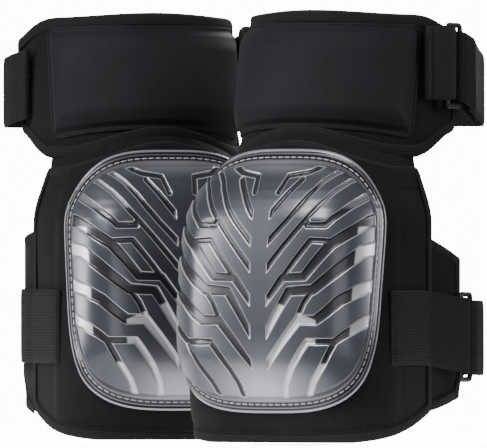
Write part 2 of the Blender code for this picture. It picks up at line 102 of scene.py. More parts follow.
# Straps and rings; the fold and the bars are in millimetres, as plan points are
STRAP_THICKNESS = 2.2 * MM
TAPE_THICKNESS = 1.2 * MM
FOLD_RADIUS = 4.6
BAR_REACH = 7.5
RING_OVERHANG = 3.4 * MM
RING_RADIUS = 1.8 * MM


def pad_matrix(side):
    sign = -1 if side == "left" else 1
    place = Matrix.Translation((sign * LEG_SPACING / 2, -sign * STEP_FORWARD / 2, 0))
    return place @ Matrix.Rotation(TURN[side], 4, "Z")


# Small maths


def lerp(a, b, t):
    return a + (b - a) * t


def smooth(t):
    t = np.clip(t, 0.0, 1.0)
    return t * t * (3 - 2 * t)


def ramp(value, start, width):
    """0 up to start and 1 from start + width on, both in millimetres."""
    return smooth((value - start * MM) / (width * MM))


def join(*parts):
    """Points from their coordinates."""
    return np.stack(parts, axis=-1)


def unit(v):
    return v / np.maximum(np.linalg.norm(v, axis=-1, keepdims=True), 1e-12)


def waves(x, y, seed, count=7, scale=60.0):
    """A smooth irregular height from a few crossing waves, about -1..1."""
    rng = np.random.default_rng(seed)
    total = np.zeros(np.broadcast(x, y).shape)
    for _ in range(count):
        angle, pitch, phase = rng.uniform(0, 6.28), rng.uniform(0.5, 1.6) * scale, rng.uniform(0, 6.28)
        total += np.sin((x * math.cos(angle) + y * math.sin(angle)) * pitch + phase)
    return total / count


# Surfaces


def front_depth(z):
    levels, depths = zip(*FRONT_DEPTHS)
    near = [np.interp(z / MM + shift, levels, depths) for shift in (-9, -3, 3, 9)]
    return sum(near) / len(near) * MM


def half_width(z):
    return SECTION_HALF_WIDTH - 11 * MM * ramp(z, 38, 45)


def body_points(fraction, z, offset, reach=1.0):
    """Points on the knee body, by their share of the arc from the front to this share of the width."""
    fraction, z, offset = np.broadcast_arrays(np.asarray(fraction, float), z, offset)
    shape = fraction.shape
    fraction, z, offset = (a.reshape(-1, 1) for a in (fraction, z, offset))
    power = 2 / (3.75 - 0.75 * np.clip(z / (50 * MM), -1, 1))
    width = half_width(z) + offset
    depth = front_depth(z) - SECTION_CENTRE + offset
    last = np.arcsin(reach ** (1 / power))
    angles = np.linspace(0, 1, 81)[None, :] ** 1.5 * last
    xs = width * np.sin(angles) ** power
    ys = depth * np.cos(angles).clip(0) ** power
    length = np.zeros_like(xs)
    length[:, 1:] = np.cumsum(np.hypot(np.diff(xs, axis=1), np.diff(ys, axis=1)), axis=1)
    at = np.minimum(np.abs(fraction), 1) * length[:, -1:]
    after = np.clip((length < at).sum(axis=1, keepdims=True), 1, 80)
    take = np.take_along_axis
    start, end = take(length, after - 1, 1), take(length, after, 1)
    t = (at - start) / np.maximum(end - start, 1e-9)
    x = lerp(take(xs, after - 1, 1), take(xs, after, 1), t)
    y = lerp(take(ys, after - 1, 1), take(ys, after, 1), t)
    found = np.concatenate([np.sign(fraction) * x, -SECTION_CENTRE - y, z], axis=1)
    return found.reshape(*shape, 3)


def thigh_points(angle, z, offset):
    angle, z, offset = np.broadcast_arrays(np.asarray(angle, float), z, offset)
    radius = THIGH_RADIUS + offset
    back = THIGH_LEAN * (z - THIGH_BASE)
    return join(radius * np.sin(angle), back - radius * np.cos(angle), z)


def rounded(u, v, corner_u, corner_v):
    """Maps the square -1..1 onto itself with elliptical corners."""
    s, t = (np.abs(u) - 1 + corner_u) / corner_u, (np.abs(v) - 1 + corner_v) / corner_v
    corner = (s > 0) & (t > 0)
    s, t = np.clip(s, 0, 1), np.clip(t, 0, 1)
    inner_u = 1 - corner_u + corner_u * s * np.sqrt(1 - t * t / 2)
    inner_v = 1 - corner_v + corner_v * t * np.sqrt(1 - s * s / 2)
    return np.where(corner, np.sign(u) * inner_u, u), np.where(corner, np.sign(v) * inner_v, v)


def body_bottom(fraction):
    return BODY_BOTTOM + 21 * MM * np.abs(fraction) ** 3


def body_top(fraction):
    return BODY_TOP - 17 * MM * smooth(np.abs(fraction) / 0.8)


def swell(fraction, z):
    across = 1 - smooth((np.abs(fraction) - 0.35) / 0.6)
    low = smooth((z - BODY_BOTTOM) / (45 * MM))
    high = smooth((BODY_TOP - z) / (45 * MM))
    return 0.3 + 0.7 * across * low * high


def lining_offset(fraction, z):
    near = 1 - smooth((np.abs(fraction) - 0.42) / 0.2)
    near *= 1 - ramp(np.abs(z + 4 * MM), 52, 18)
    return -KNEE_LINING_DEPTH - 15 * MM * swell(fraction, z) - 7.4 * MM * near


def panel_bottom(angle):
    dip = smooth(np.abs(angle) / math.radians(55))
    lift = smooth((np.abs(angle) - math.radians(66)) / math.radians(28))
    return THIGH_BASE - 13 * MM * dip + 16 * MM * lift


def panel_top(angle):
    top = 175 * MM - 3 * MM * smooth(np.abs(angle) / math.radians(60))
    return top - 13 * MM * smooth((np.abs(angle) - math.radians(60)) / math.radians(36))


class Plan:
    """A smooth path seen from above, walked by its length. out is 1 if its left is outside, else -1."""

    def __init__(self, points, out):
        self.out = out
        knots = [np.array(p, float) * MM for p in [points[0], *points, points[-1]]]
        walked = []
        for before, start, end, after in zip(knots, knots[1:], knots[2:], knots[3:]):
            for t in np.linspace(0, 1, 12, endpoint=False):
                cubic = 2 * start + (end - before) * t
                cubic = cubic + (2 * before - 5 * start + 4 * end - after) * t**2
                cubic = cubic + (3 * start - before - 3 * end + after) * t**3
                walked.append(cubic / 2)
        walked.append(knots[-1])
        self.points = np.array(walked)
        steps = np.hypot(*np.diff(self.points, axis=0).T)
        self.length = np.concatenate([[0], np.cumsum(steps)])
        self.total = self.length[-1]

    def place(self, t):
        at = np.clip(t, 0, 1) * self.total
        return np.stack([np.interp(at, self.length, self.points[:, i]) for i in (0, 1)], axis=-1)

    def at(self, t, offset=0.0):
        t, offset = np.broadcast_arrays(np.asarray(t, float), offset)
        ahead = unit(self.place(t + 0.004) - self.place(t - 0.004))
        side = join(-ahead[..., 1], ahead[..., 0]) * self.out
        return self.place(t) + side * offset[..., None]


# Meshes


def mesh_object(name, verts, faces, cloth, extra=None):
    """A smooth mesh that carries its cloth coordinates, and further numbers for its points in extra."""
    mesh = bpy.data.meshes.new(name)
    mesh.from_pydata(np.asarray(verts).reshape(-1, 3).tolist(), [], faces)
    attribute = mesh.attributes.new("cloth", "FLOAT_VECTOR", "POINT")
    flat = np.zeros((len(mesh.vertices), 3), np.float32)
    flat[:, :2] = np.asarray(cloth).reshape(-1, 2)
    attribute.data.foreach_set("vector", flat.ravel())
    for key, values in (extra or {}).items():
        attribute = mesh.attributes.new(key, "FLOAT", "POINT")
        attribute.data.foreach_set("value", np.asarray(values, np.float32).ravel())
    mesh.shade_smooth()
    return mesh


def cloth_of(mesh):
    """The cloth coordinates of a mesh's points, a row for each point."""
    flat = np.zeros(len(mesh.vertices) * 3, np.float32)
    mesh.attributes["cloth"].data.foreach_get("vector", flat)
    return flat.reshape(-1, 3)


def grid_solid(name, outer, inner, cloth, extra=None):
    """A closed sheet from two grids of points with the same shape; cloth holds metres across and up."""
    rows, cols = outer.shape[:2]
    count = rows * cols
    index = np.arange(count).reshape(rows, cols)
    a, b, c, d = index[:-1, :-1], index[:-1, 1:], index[1:, 1:], index[1:, :-1]
    front = join(a, b, c, d).reshape(-1, 4)
    back = front[:, ::-1] + count
    rim = np.concatenate([index[0, :], index[1:, -1], index[-1, -2::-1], index[-2:0:-1, 0]])
    ahead = np.roll(rim, -1)
    sides = join(ahead, rim, rim + count, ahead + count)
    faces = np.concatenate([front, back, sides])
    verts = np.concatenate([outer.reshape(-1, 3), inner.reshape(-1, 3)])
    flat = np.concatenate([cloth.reshape(-1, 2)] * 2)
    extra = {key: np.concatenate([v.ravel(), v.ravel()]) for key, v in (extra or {}).items()}
    corners = verts[faces]
    normal = np.cross(corners[:, 1] - corners[:, 0], corners[:, 2] - corners[:, 0])
    if (normal * corners.mean(axis=1)).sum() < 0:
        faces = faces[:, ::-1]
    return mesh_object(name, verts, faces.tolist(), flat, extra)


def sweep(name, centres, normals, profile, closed=False):
    """A closed solid whose profile, in (inward, outward) metres, is carried along the centres.

    normals point out of the surface that the path runs on; inward is normal x tangent.
    """
    centres, normals = np.asarray(centres, float), unit(np.asarray(normals, float))
    if closed:
        tangent = unit(np.roll(centres, -1, 0) - np.roll(centres, 1, 0))
    else:
        tangent = unit(np.gradient(centres, axis=0))
    inward = unit(np.cross(normals, tangent))
    normals = np.cross(tangent, inward)
    profile = np.asarray(profile, float)
    ring = centres[:, None] + profile[None, :, :1] * inward[:, None] + profile[None, :, 1:] * normals[:, None]
    rows, cols = ring.shape[:2]
    index = np.arange(rows * cols).reshape(rows, cols)
    if closed:
        nxt = np.roll(index, -1, 0)
    else:
        index, nxt = index[:-1], index[1:]
    quads = join(index, np.roll(index, -1, 1), np.roll(nxt, -1, 1), nxt).reshape(-1, 4)
    faces = quads.tolist()
    if not closed:
        faces += [list(range(cols))[::-1], list(range((rows - 1) * cols, rows * cols))]
    steps = np.linalg.norm(np.diff(centres, axis=0), axis=1)
    along = np.concatenate([[0], np.cumsum(steps)])
    round_steps = np.linalg.norm(np.diff(profile, axis=0), axis=1)
    across = np.concatenate([[0], np.cumsum(round_steps)])
    cloth = np.stack(np.broadcast_arrays(along[:, None], across[None, :]), axis=-1)
    mesh = mesh_object(name, ring, faces, cloth)
    return upright(mesh)


def upright(mesh):
    """Turns all faces so that the closed mesh faces outwards."""
    bm = bmesh.new()
    bm.from_mesh(mesh)
    bmesh.ops.recalc_face_normals(bm, faces=bm.faces[:])
    if bm.calc_volume(signed=True) < 0:
        bmesh.ops.reverse_faces(bm, faces=bm.faces[:])
    bm.to_mesh(mesh)
    bm.free()
    return mesh


def wrap_profile(width, thickness, over, under):
    """A tape folded round a sheet's edge, with legs of this width at heights over and -under."""
    steps = 10
    middle, half = (over - under) / 2, (over + under) / 2
    turn = np.linspace(math.pi / 2, -math.pi / 2, steps)
    bulge = min(half, 2.2 * MM)
    outer = [(width, over + thickness * 0.3), (width * 0.9, over + thickness)]
    outer += [(width * 0.5, over + thickness * 1.1)]
    outer += [(-bulge * math.cos(a) * 0.9, middle + (half + thickness) * math.sin(a)) for a in turn]
    outer += [(width * 0.5, -under - thickness), (width, -under - thickness * 0.6)]
    inner = [(width, -under), (width * 0.4, -under)]
    inner += [(0.4 * MM - 0.3 * bulge * math.cos(a), middle + half * math.sin(a)) for a in turn[::-1]]
    inner += [(width * 0.4, over)]
    return outer + inner


def round_profile(radius, sides):
    turn = np.linspace(0, 2 * math.pi, sides, endpoint=False)
    return [(radius * math.cos(a), radius * math.sin(a)) for a in turn]


def stitches(name, centres, normals, pitch, radius, fill=0.72, closed=False):
    """A row of separate thread stitches along a path, each a small spindle that dips at its ends."""
    centres, normals = np.asarray(centres, float), unit(np.asarray(normals, float))
    if closed:
        centres, normals = np.vstack([centres, centres[:1]]), np.vstack([normals, normals[:1]])
    steps = np.linalg.norm(np.diff(centres, axis=0), axis=1)
    length = np.concatenate([[0], np.cumsum(steps)])
    count = max(1, int(length[-1] / pitch))
    pitch = length[-1] / count
    verts, faces = [], []
    rings = ((-0.5, 0.25, -0.5), (-0.3, 0.85, 0.3), (0, 1, 0.6), (0.3, 0.85, 0.3), (0.5, 0.25, -0.5))
    for i in range(count):
        middle = (i + 0.5) * pitch
        at = middle + np.array([r[0] for r in rings]) * pitch * fill
        spots = np.stack([np.interp(at, length, centres[:, k]) for k in range(3)], axis=-1)
        up = unit(np.array([np.interp(middle, length, normals[:, k]) for k in range(3)]))
        ahead = unit(spots[-1] - spots[0])
        across = unit(np.cross(up, ahead))
        base = len(verts)
        for spot, (_, wide, high) in zip(spots, rings):
            for k in range(6):
                turn = k * math.pi / 3
                verts.append(
                    spot + radius * (wide * (math.cos(turn) * across + 0.8 * math.sin(turn) * up) + high * up)
                )
        for ring in range(4):
            for k in range(6):
                here, there = base + ring * 6, base + ring * 6 + 6
                faces.append([here + k, here + (k + 1) % 6, there + (k + 1) % 6, there + k])
        faces.append([base + k for k in range(5, -1, -1)])
        faces.append([base + 24 + k for k in range(6)])
    return upright(mesh_object(name, verts, faces, np.zeros((len(verts), 2))))


PIECES = {}


def pad_object(name, mesh, material, side):
    """A copy of the mesh, moved from the pad's own frame to where that pad stands."""
    copy = mesh.copy()
    copy.transform(pad_matrix(side))
    copy.materials.clear()
    copy.materials.append(material)
    obj = bpy.data.objects.new(name, copy)
    bpy.context.scene.collection.objects.link(obj)
    return obj


def place(name, mesh, material, group, node=None, slot=None):
    """Puts a copy of the mesh on each pad, riding on that pad's body, and has it stand for the CAD node."""
    for side in SIDES:
        obj = pad_object(f"{side}_{name}_look", mesh, material, side)
        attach(obj, f"{side}_{group}")
        if node:
            nodes = [node] if isinstance(node, str) else node
            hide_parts(*[f"{side}_{n}" for n in nodes])
        PIECES[side, name] = obj


def rail(surface, across, heights, offset, beyond):
    """Points at this offset from a surface, and the ways out of it, towards points further off."""
    centres = surface(across, heights, offset)
    return centres, surface(across, heights, beyond) - centres


def softened(values, reach):
    """A closed run of numbers, each averaged with its neighbours."""
    kernel = np.ones(2 * reach + 1) / (2 * reach + 1)
    padded = np.concatenate([values[-reach:], values, values[:reach]])
    return np.convolve(padded, kernel, "valid")


def border(bottom, top, reach, rows, blur):
    """Once round a panel's edge: places across it, out to reach each way, and heights."""
    across, side = np.linspace(-1, 1, 161) * reach, np.linspace(0, 1, rows)[1:-1]
    ends = lerp(bottom(reach), top(reach), side)
    places = np.concatenate([across, 0 * side + reach, across[::-1], 0 * side - reach])
    heights = np.concatenate([bottom(across), ends, top(across[::-1]), ends[::-1]])
    return softened(places, blur), softened(heights, blur)


def edge_tape(name, surface, edge, profile, group, node):
    """The binding sewn round a panel's edge."""
    centres, normals = rail(surface, *edge, 0.0, 2 * MM)
    place(name, sweep(name, centres, normals, profile, closed=True), BINDING, group, node, "binding")


def place_sheet(name, outer, inner, cloth, material, group, slot):
    """A closed sheet that stands for the CAD node of its own name."""
    place(name, grid_solid(name, outer, inner, cloth), material, group, name, slot)


# Materials


class Shader:
    """Shorthand for one material's nodes. cloth is its coordinates in metres: across, then up or along."""

    def __init__(self, name, **inputs):
        self.material = bpy.data.materials.new(name)
        self.material.use_nodes = True
        self.tree = self.material.node_tree
        self.bsdf = self.tree.nodes["Principled BSDF"]
        for socket, value in inputs.items():
            self.bsdf.inputs[socket.replace("_", " ")].default_value = value
        self.cloth = self.add("ShaderNodeAttribute", attribute_name="cloth").outputs["Vector"]
        self.object = self.add("ShaderNodeTexCoord").outputs["Object"]

    def add(self, kind, inputs=None, **settings):
        node = self.tree.nodes.new(kind)
        for key, value in settings.items():
            setattr(node, key, value)
        for key, value in (inputs or {}).items():
            if isinstance(value, bpy.types.NodeSocket):
                self.tree.links.new(value, node.inputs[key])
            else:
                node.inputs[key].default_value = value
        return node

    def math(self, operation, a, b=0.0, c=0.0):
        return self.add("ShaderNodeMath", {0: a, 1: b, 2: c}, operation=operation).outputs[0]

    def noise(self, scale, detail=3.0, rough=0.6):
        inputs = {"Vector": self.object, "Scale": scale, "Detail": detail, "Roughness": rough}
        return self.add("ShaderNodeTexNoise", inputs).outputs[0]

    def split(self, vector):
        return self.add("ShaderNodeSeparateXYZ", {0: vector}).outputs

    def ripple(self, value, pitch):
        """A sine of this pitch in metres, from 0 to 1."""
        turned = self.math("SINE", self.math("MULTIPLY", value, 2 * math.pi / pitch))
        return self.math("MULTIPLY_ADD", turned, 0.5, 0.5)

    def remap(self, value, low, high, to_low=0.0, to_high=1.0):
        inputs = {0: value, 1: low, 2: high, 3: to_low, 4: to_high}
        return self.add("ShaderNodeMapRange", inputs).outputs[0]

    def mix(self, factor, dark, light):
        node = self.add("ShaderNodeMix", data_type="RGBA")
        for index, value in ((0, factor), (6, dark), (7, light)):
            if isinstance(value, bpy.types.NodeSocket):
                self.tree.links.new(value, node.inputs[index])
            else:
                node.inputs[index].default_value = (*value, 1) if index else value
        return node.outputs[2]

    def colour(self, socket):
        self.tree.links.new(socket, self.bsdf.inputs["Base Color"])

    def rough(self, socket):
        self.tree.links.new(socket, self.bsdf.inputs["Roughness"])

    def bump(self, height, distance, strength=1.0):
        inputs = {"Height": height, "Distance": distance, "Strength": strength}
        bump = self.add("ShaderNodeBump", inputs)
        self.tree.links.new(bump.outputs[0], self.bsdf.inputs["Normal"])


def fabric(name, dark, light, pitch, relief, speckle=0.5, roughness=0.85, sheen=0.05):
    """Woven or knitted cloth: threads of this pitch across and along, with uneven yarn and a little lint."""
    s = Shader(name, Roughness=roughness, Specular_IOR_Level=0.14, Sheen_Weight=sheen, Sheen_Roughness=0.4)
    x, y, _ = s.split(s.cloth)
    wobble = s.math("MULTIPLY", s.noise(180, 2), 0.35 * pitch[0])
    warp = s.ripple(s.math("ADD", x, wobble), pitch[0])
    weft = s.ripple(y, pitch[1])
    weave = s.math("MULTIPLY", warp, s.math("MULTIPLY_ADD", weft, 0.55, 0.45))
    yarn = s.noise(900, 2, 0.7)
    broad = s.noise(26, 4, 0.6)
    tone = s.math("ADD", s.math("MULTIPLY", weave, 0.5), s.math("MULTIPLY", yarn, speckle))
    tone = s.math("ADD", tone, s.math("MULTIPLY_ADD", broad, 0.7, -0.45))
    s.colour(s.mix(s.remap(tone, 0.05, 1.0), dark, light))
    s.rough(s.remap(yarn, 0.2, 0.8, roughness - 0.08, min(1.0, roughness + 0.08)))
    s.bump(s.math("ADD", weave, s.math("MULTIPLY", yarn, 0.5)), relief)
    return s.material


def ribbed(name, dark, light, rib, cross, relief, roughness=0.7, sheen=0.04):
    """Elastic or webbing: raised ribs running along it, crossed by fine threads."""
    s = Shader(name, Roughness=roughness, Specular_IOR_Level=0.18, Sheen_Weight=sheen, Sheen_Roughness=0.35)
    along, across, _ = s.split(s.cloth)
    rib_wave = s.math("POWER", s.ripple(across, rib), 0.6)
    thread = s.ripple(s.math("ADD", along, s.math("MULTIPLY", rib_wave, cross * 0.5)), cross)
    yarn = s.noise(700, 2, 0.7)
    height = s.math("ADD", rib_wave, s.math("MULTIPLY", thread, 0.45))
    tone = s.math("ADD", s.math("MULTIPLY", height, 0.45), s.math("MULTIPLY", yarn, 0.5))
    s.colour(s.mix(s.remap(tone, 0.1, 1.0), dark, light))
    s.bump(height, relief)
    return s.material


def fuzzy(name, dark, light, scale, relief):
    """Loop or hook tape: a dense field of small hooks or curls."""
    s = Shader(name, Roughness=0.95, Specular_IOR_Level=0.2, Sheen_Weight=0.3, Sheen_Roughness=0.5)
    cells = s.add("ShaderNodeTexVoronoi", {"Vector": s.cloth, "Scale": scale}).outputs[0]
    curls = s.noise(scale * 0.9, 3, 0.7)
    height = s.math("MULTIPLY_ADD", cells, 0.8, s.math("MULTIPLY", curls, 0.7))
    s.colour(s.mix(s.remap(height, 0.2, 1.1), dark, light))
    s.bump(height, relief)
    return s.material


def moulded(name, dark, light, roughness, grain=1400, relief=0.00006):
    """Moulded plastic or foam: fine grain with rubbed, lighter high spots."""
    s = Shader(name, Roughness=roughness, Specular_IOR_Level=0.5)
    fine, broad = s.noise(grain, 3, 0.6), s.noise(60, 4, 0.6)
    s.colour(s.mix(s.remap(broad, 0.3, 0.75), dark, light))
    s.rough(s.remap(broad, 0.3, 0.7, roughness - 0.07, roughness + 0.07))
    s.bump(fine, relief)
    return s.material


def clear_plastic():
    """The clear cap over its dark backing: grey, glossy blocks lightened by a painted highlight, groove
    floors dark or lightened by painted reflection, and painted highlight lines along the groove edges, the
    step from the flange and round the flange.
    """
    s = Shader("clear_cap", Metallic=0.5, IOR=1.5, Coat_Weight=0.45, Coat_Roughness=0.2)
    gap, painted_floor_reflection, inward, painted_block_highlight = (
        s.add("ShaderNodeAttribute", attribute_name=name).outputs["Fac"]
        for name in ("groove_gap", "painted_floor_reflection", "inward", "painted_block_highlight")
    )
    cloud = s.noise(18, 2, 0.5)
    block = s.mix(s.remap(cloud, 0.3, 0.75), (0.055, 0.055, 0.072), (0.085, 0.085, 0.108))
    # painted highlight: the blocks are lightened towards light grey where light falls on them
    block = s.mix(painted_block_highlight, block, (0.55, 0.55, 0.6))
    # painted reflection: the groove floors go from the dark backing to near white where they would mirror the
    # bright surroundings
    floor = s.mix(painted_floor_reflection, (0.028, 0.028, 0.036), (0.7, 0.7, 0.74))
    body = s.mix(s.remap(gap, 0.0, 0.35), block, floor)
    # painted highlight: a light line along each groove's edge, where the clear plastic would catch the light
    painted_edge_highlight = s.math("SUBTRACT", 1.0, s.math("MULTIPLY", s.math("ABSOLUTE", s.math("ADD", gap, 0.3)), 2.6))
    body = s.mix(s.math("MULTIPLY", s.remap(painted_edge_highlight, 0, 1), 0.75), body, (0.75, 0.75, 0.8))
    flange = s.mix(s.remap(inward, 7.0, 8.4), (0.012, 0.012, 0.015), body)
    # painted highlight: a light band along the cap's step up from the flange to the dome
    painted_step_highlight = s.math("MULTIPLY", s.remap(inward, 6.4, 7.2), s.remap(inward, 9.6, 7.6))
    flange = s.mix(s.math("MULTIPLY", painted_step_highlight, 0.22), flange, (0.5, 0.5, 0.54))
    # painted highlight: a thin light line across the flange, and the outer bead made light grey at the rim,
    # where the clear edge would catch the light
    line = s.math("MULTIPLY", s.remap(inward, 2.6, 3.0), s.remap(inward, 3.8, 3.3))
    flange = s.mix(s.math("MULTIPLY", line, 0.4), flange, (0.4, 0.4, 0.44))
    s.colour(s.mix(s.remap(inward, 1.9, 0.9), flange, (0.4, 0.4, 0.44)))
    s.rough(s.remap(cloud, 0.3, 0.7, 0.3, 0.38))
    return s.material


def cap_thread_with_painted_highlight():
    # the cap's stitch thread is made light grey: partly the thread's own tone, partly painted highlight for
    # the light caught round the stitches
    s = Shader("thread", Roughness=0.55, Sheen_Weight=0.3)
    fibre = s.noise(2200, 2, 0.7)
    s.colour(s.mix(fibre, (0.25, 0.25, 0.27), (0.6, 0.6, 0.63)))
    s.bump(fibre, 0.00008)
    return s.material


TAPE_TONES = (0.002, 0.002, 0.0025), (0.016, 0.016, 0.018)
KNIT_TONES = (0.002, 0.002, 0.0024), (0.013, 0.013, 0.0145)
LINING_TONES = (0.005, 0.005, 0.006), (0.02, 0.02, 0.022)
TWILL_TONES = (0.008, 0.0075, 0.0095), (0.019, 0.018, 0.022)
WEBBING_TONES = (0.004, 0.004, 0.0045), (0.013, 0.013, 0.014)
THREAD_TONES = (0.008, 0.008, 0.009), (0.03, 0.03, 0.033)
KNIT = fabric("knit_cover", *KNIT_TONES, (1.5 * MM, 1.1 * MM), 0.00018, 0.8)
LINING = fabric("mesh_lining", *LINING_TONES, (2.2 * MM, 2.2 * MM), 0.0003)
TWILL = fabric("pocket_twill", *TWILL_TONES, (1.7 * MM, 0.7 * MM), 0.00007, 0.5, 0.7)
BINDING = ribbed("binding_tape", *TAPE_TONES, 1.3 * MM, 1.0 * MM, 0.00025, 0.8)
ELASTIC = ribbed("elastic_webbing", *TAPE_TONES, 1.9 * MM, 0.9 * MM, 0.0003)
WEBBING = ribbed("smooth_webbing", *WEBBING_TONES, 0.9 * MM, 0.5 * MM, 0.00009, 0.6)
SEAM_THREAD = fabric("seam_thread", *THREAD_TONES, (0.4 * MM, 0.4 * MM), 0.00005)
LOOP = fuzzy("loop_tape", *TAPE_TONES, 1500, 0.0004)
HOOK = fuzzy("hook_tape", (0.003, 0.003, 0.003), (0.02, 0.02, 0.021), 900, 0.0005)
RING = moulded("ring_plastic", (0.008, 0.008, 0.009), (0.02, 0.02, 0.022), 0.38)
FOAM = moulded("foam", (0.03, 0.03, 0.034), (0.07, 0.07, 0.075), 0.9, 800, 0.0004)
GEL = moulded("gel", (0.05, 0.09, 0.16), (0.1, 0.16, 0.26), 0.3)
FILLER = moulded("cap_filler", (0.02, 0.02, 0.026), (0.05, 0.05, 0.06), 0.45)
CLEAR = clear_plastic()
CAP_THREAD_PAINTED_LIGHT = cap_thread_with_painted_highlight()


# Knee cap

# Tread grooves of the right half, in millimetres: distances from the spine and heights, then both end widths
GROOVES = (
    ((9.6, 60.9), (11.9, 68.2), (26.8, 70.5), (32.9, 73), (41.3, 77), (49.7, 79), 2.2, 2.2),
    ((7.1, 44.7), (16, 57.5), (23.7, 66.3), 2.8, 2.4),
    ((6.3, 25.9), (17.6, 39.3), (29.8, 55.5), (39, 64.9), (48.2, 70.6), (62, 74), 2.8, 1.5),
    ((5.7, 8.4), (17.6, 23.9), (31.4, 42), (39, 50.8), (46.7, 58.2), (57.4, 64.9), (71, 67.6), 2.8, 1.5),
    ((31, 38), (31.4, 36.3), (42.8, 36.3), (46.7, 40.7), (57.4, 48.8), (68.8, 54.8), (79.6, 58.2), 2.8, 4.0),
    (
        *((6.2, -12.3), (16.8, 2.3), (31.4, 3), (39, 13.1), (47.4, 23.9), (58.1, 31.3), (69.6, 38)),
        *((84.9, 42.7), 3, 8),
    ),
    ((16.8, 2.3), (34.4, 26.6), (46.7, 25.9), 2.6, 2.6),
    ((6.2, -33), (13.5, -20), (21.5, -6.5), (38, -5.5), (48, 3), (58, 11.5), (68, 19), (86, 22.5), 3, 9),
    ((38, -5.5), (32, -14), (28.5, -22), 2.6, 2.6),
    (
        *((6.6, -53.3), (16.9, -39.4), (28, -25.4), (40.2, -25.4), (46.7, -20.5), (56, -12.3), (67.3, -6.5)),
        *((82.2, -1.6), 3, 8),
    ),
    ((16, -77), (17.8, -67.3), (22.5, -57.4), (30.9, -44.3), (34.6, -39.4), (53.3, -39.4), 2.6, 3.4),
    ((53.3, -39.4), (58.9, -35.3), (70, -28.7), (79.4, -24.6), 3.6, 7),
    ((53.3, -40), (45.8, -54.2), (38.3, -65.6), (33.7, -77), 3.2, 2.8),
)
GROOVE_DEPTH = 1.6 * MM
SPINE_TIP = 3.5
SPINE_HALF_WIDTH = 6.0


def groove_field(across, up):
    """How far each point lies inside a groove's edge, in millimetres: negative outside."""
    x, z = np.abs(across).ravel() / MM, up.ravel() / MM
    best = np.full(x.shape, -9.0)
    for *knots, first, last in GROOVES:
        knots = np.array(knots, float)
        if knots[0, 0] < 10:
            knots[0] -= unit(knots[1] - knots[0]) * SPINE_TIP
        steps = np.linalg.norm(np.diff(knots, axis=0), axis=1)
        walked = np.concatenate([[0], np.cumsum(steps)]) / steps.sum()
        for i, step in enumerate(steps):
            way = (knots[i + 1] - knots[i]) / step
            along = np.clip((x - knots[i, 0]) * way[0] + (z - knots[i, 1]) * way[1], 0, step)
            gap = np.hypot(x - knots[i, 0] - along * way[0], z - knots[i, 1] - along * way[1])
            share = lerp(walked[i], walked[i + 1], along / step)
            best = np.maximum(best, lerp(first, last, share) / 2 - gap)
    return np.minimum(best + 0.4, x - SPINE_HALF_WIDTH).reshape(across.shape)


def cap_flat(u, v):
    """Arc across and height up of the cap's square map, in metres: an outline with broad, soft corners."""
    reach = (np.abs(u) ** CAP_ROUNDING + np.abs(v) ** CAP_ROUNDING) ** (1 / CAP_ROUNDING)
    share = np.maximum(np.abs(u), np.abs(v)) / np.maximum(reach, 1e-9)
    return u * share * CAP_HALF_ARC, v * share * CAP_HALF_HEIGHT


def cap_points(arc, up, offset):
    return body_points(arc / CAP_HALF_ARC, up, offset, CAP_WIDTH_SHARE)


def square_rim(columns, rows):
    """u and v once round the square, without the repeated corner."""
    a, b = np.linspace(-1, 1, columns)[:-1], np.linspace(-1, 1, rows)[:-1]
    u = np.concatenate([a, 0 * b + 1, -a, 0 * b - 1])
    v = np.concatenate([0 * a - 1, b, 0 * a + 1, -b])
    return u, v


def cap_edge(arc, up):
    """Distance in from the cap's real outline."""
    rim = join(*cap_flat(*square_rim(91, 91)))
    spots = join(arc.ravel(), up.ravel())
    return nearest(spots, rim).reshape(arc.shape)


def nearest(spots, rim):
    """Distance from each spot to the closed line through the rim points."""
    best = np.full(len(spots), 9.0)
    for start, end in zip(rim, np.roll(rim, -1, 0)):
        way = end - start
        t = np.clip((spots - start) @ way / (way @ way), 0, 1)
        best = np.minimum(best, np.hypot(*(spots - start - t[:, None] * way).T))
    return best


def cap_rise(inward):
    return CAP_DOME * (0.4 * smooth((inward - CAP_FLANGE) / CAP_WALL) + 0.6 * ramp(inward, 0, 44))


def grid_uv(columns, rows, low=-1.0, high=1.0):
    return np.meshgrid(np.linspace(low, high, columns), np.linspace(low, high, rows))


def painted_reflection_share(x, up):
    """How much painted reflection lightens the groove floors: 0 shows the dark backing. x runs out from the
    pair's middle.
    """
    side = ramp(x, 63, 1.5) * ramp(-up, -36, 2) * 0.8
    low = ramp(-x, -41, 1.5) * smooth((-8 * MM - 0.42 * x - up) / (1.5 * MM))
    tail = ramp(-x, -52, 1.5) * ramp(-up, 53, 1.5)
    high = ramp(x, 34, 4) * ramp(-x, -72, 2) * ramp(up, 46, 3)
    return np.where(x > 0, np.maximum(np.maximum(side, low * 0.85), np.maximum(tail, high * 0.25)), 0.02)


def painted_highlight_share(x, up):
    """How much painted highlight lightens the clear blocks: low in the middle, along the top, down the inner
    side.
    """
    foot = 0.75 * np.exp(-((x / (30 * MM)) ** 2) - ((up + 72 * MM) / (20 * MM)) ** 2)
    crown = 0.55 * ramp(up, 66, 16) * np.exp(-((x / (48 * MM)) ** 2))
    inner = 0.6 * ramp(-x, 46, 30)
    outer = 0.2 * ramp(x, 60, 16) * ramp(-up, -44, 16) * ramp(up, -40, 20)
    return np.maximum(np.maximum(foot, crown), np.maximum(inner, outer))


def light_caps():
    """Gives each cap its painted reflection on the groove floors and its painted highlight on the blocks,
    which mirror each other across the pair.
    """
    for side, sign in (("left", -1), ("right", 1)):
        mesh = PIECES[side, "knee_cap"].data
        x, up = cloth_of(mesh).astype(float)[:, :2].T
        x = sign * x
        mesh.attributes["painted_floor_reflection"].data.foreach_set("value", painted_reflection_share(x, up))
        mesh.attributes["painted_block_highlight"].data.foreach_set("value", painted_highlight_share(x, up))


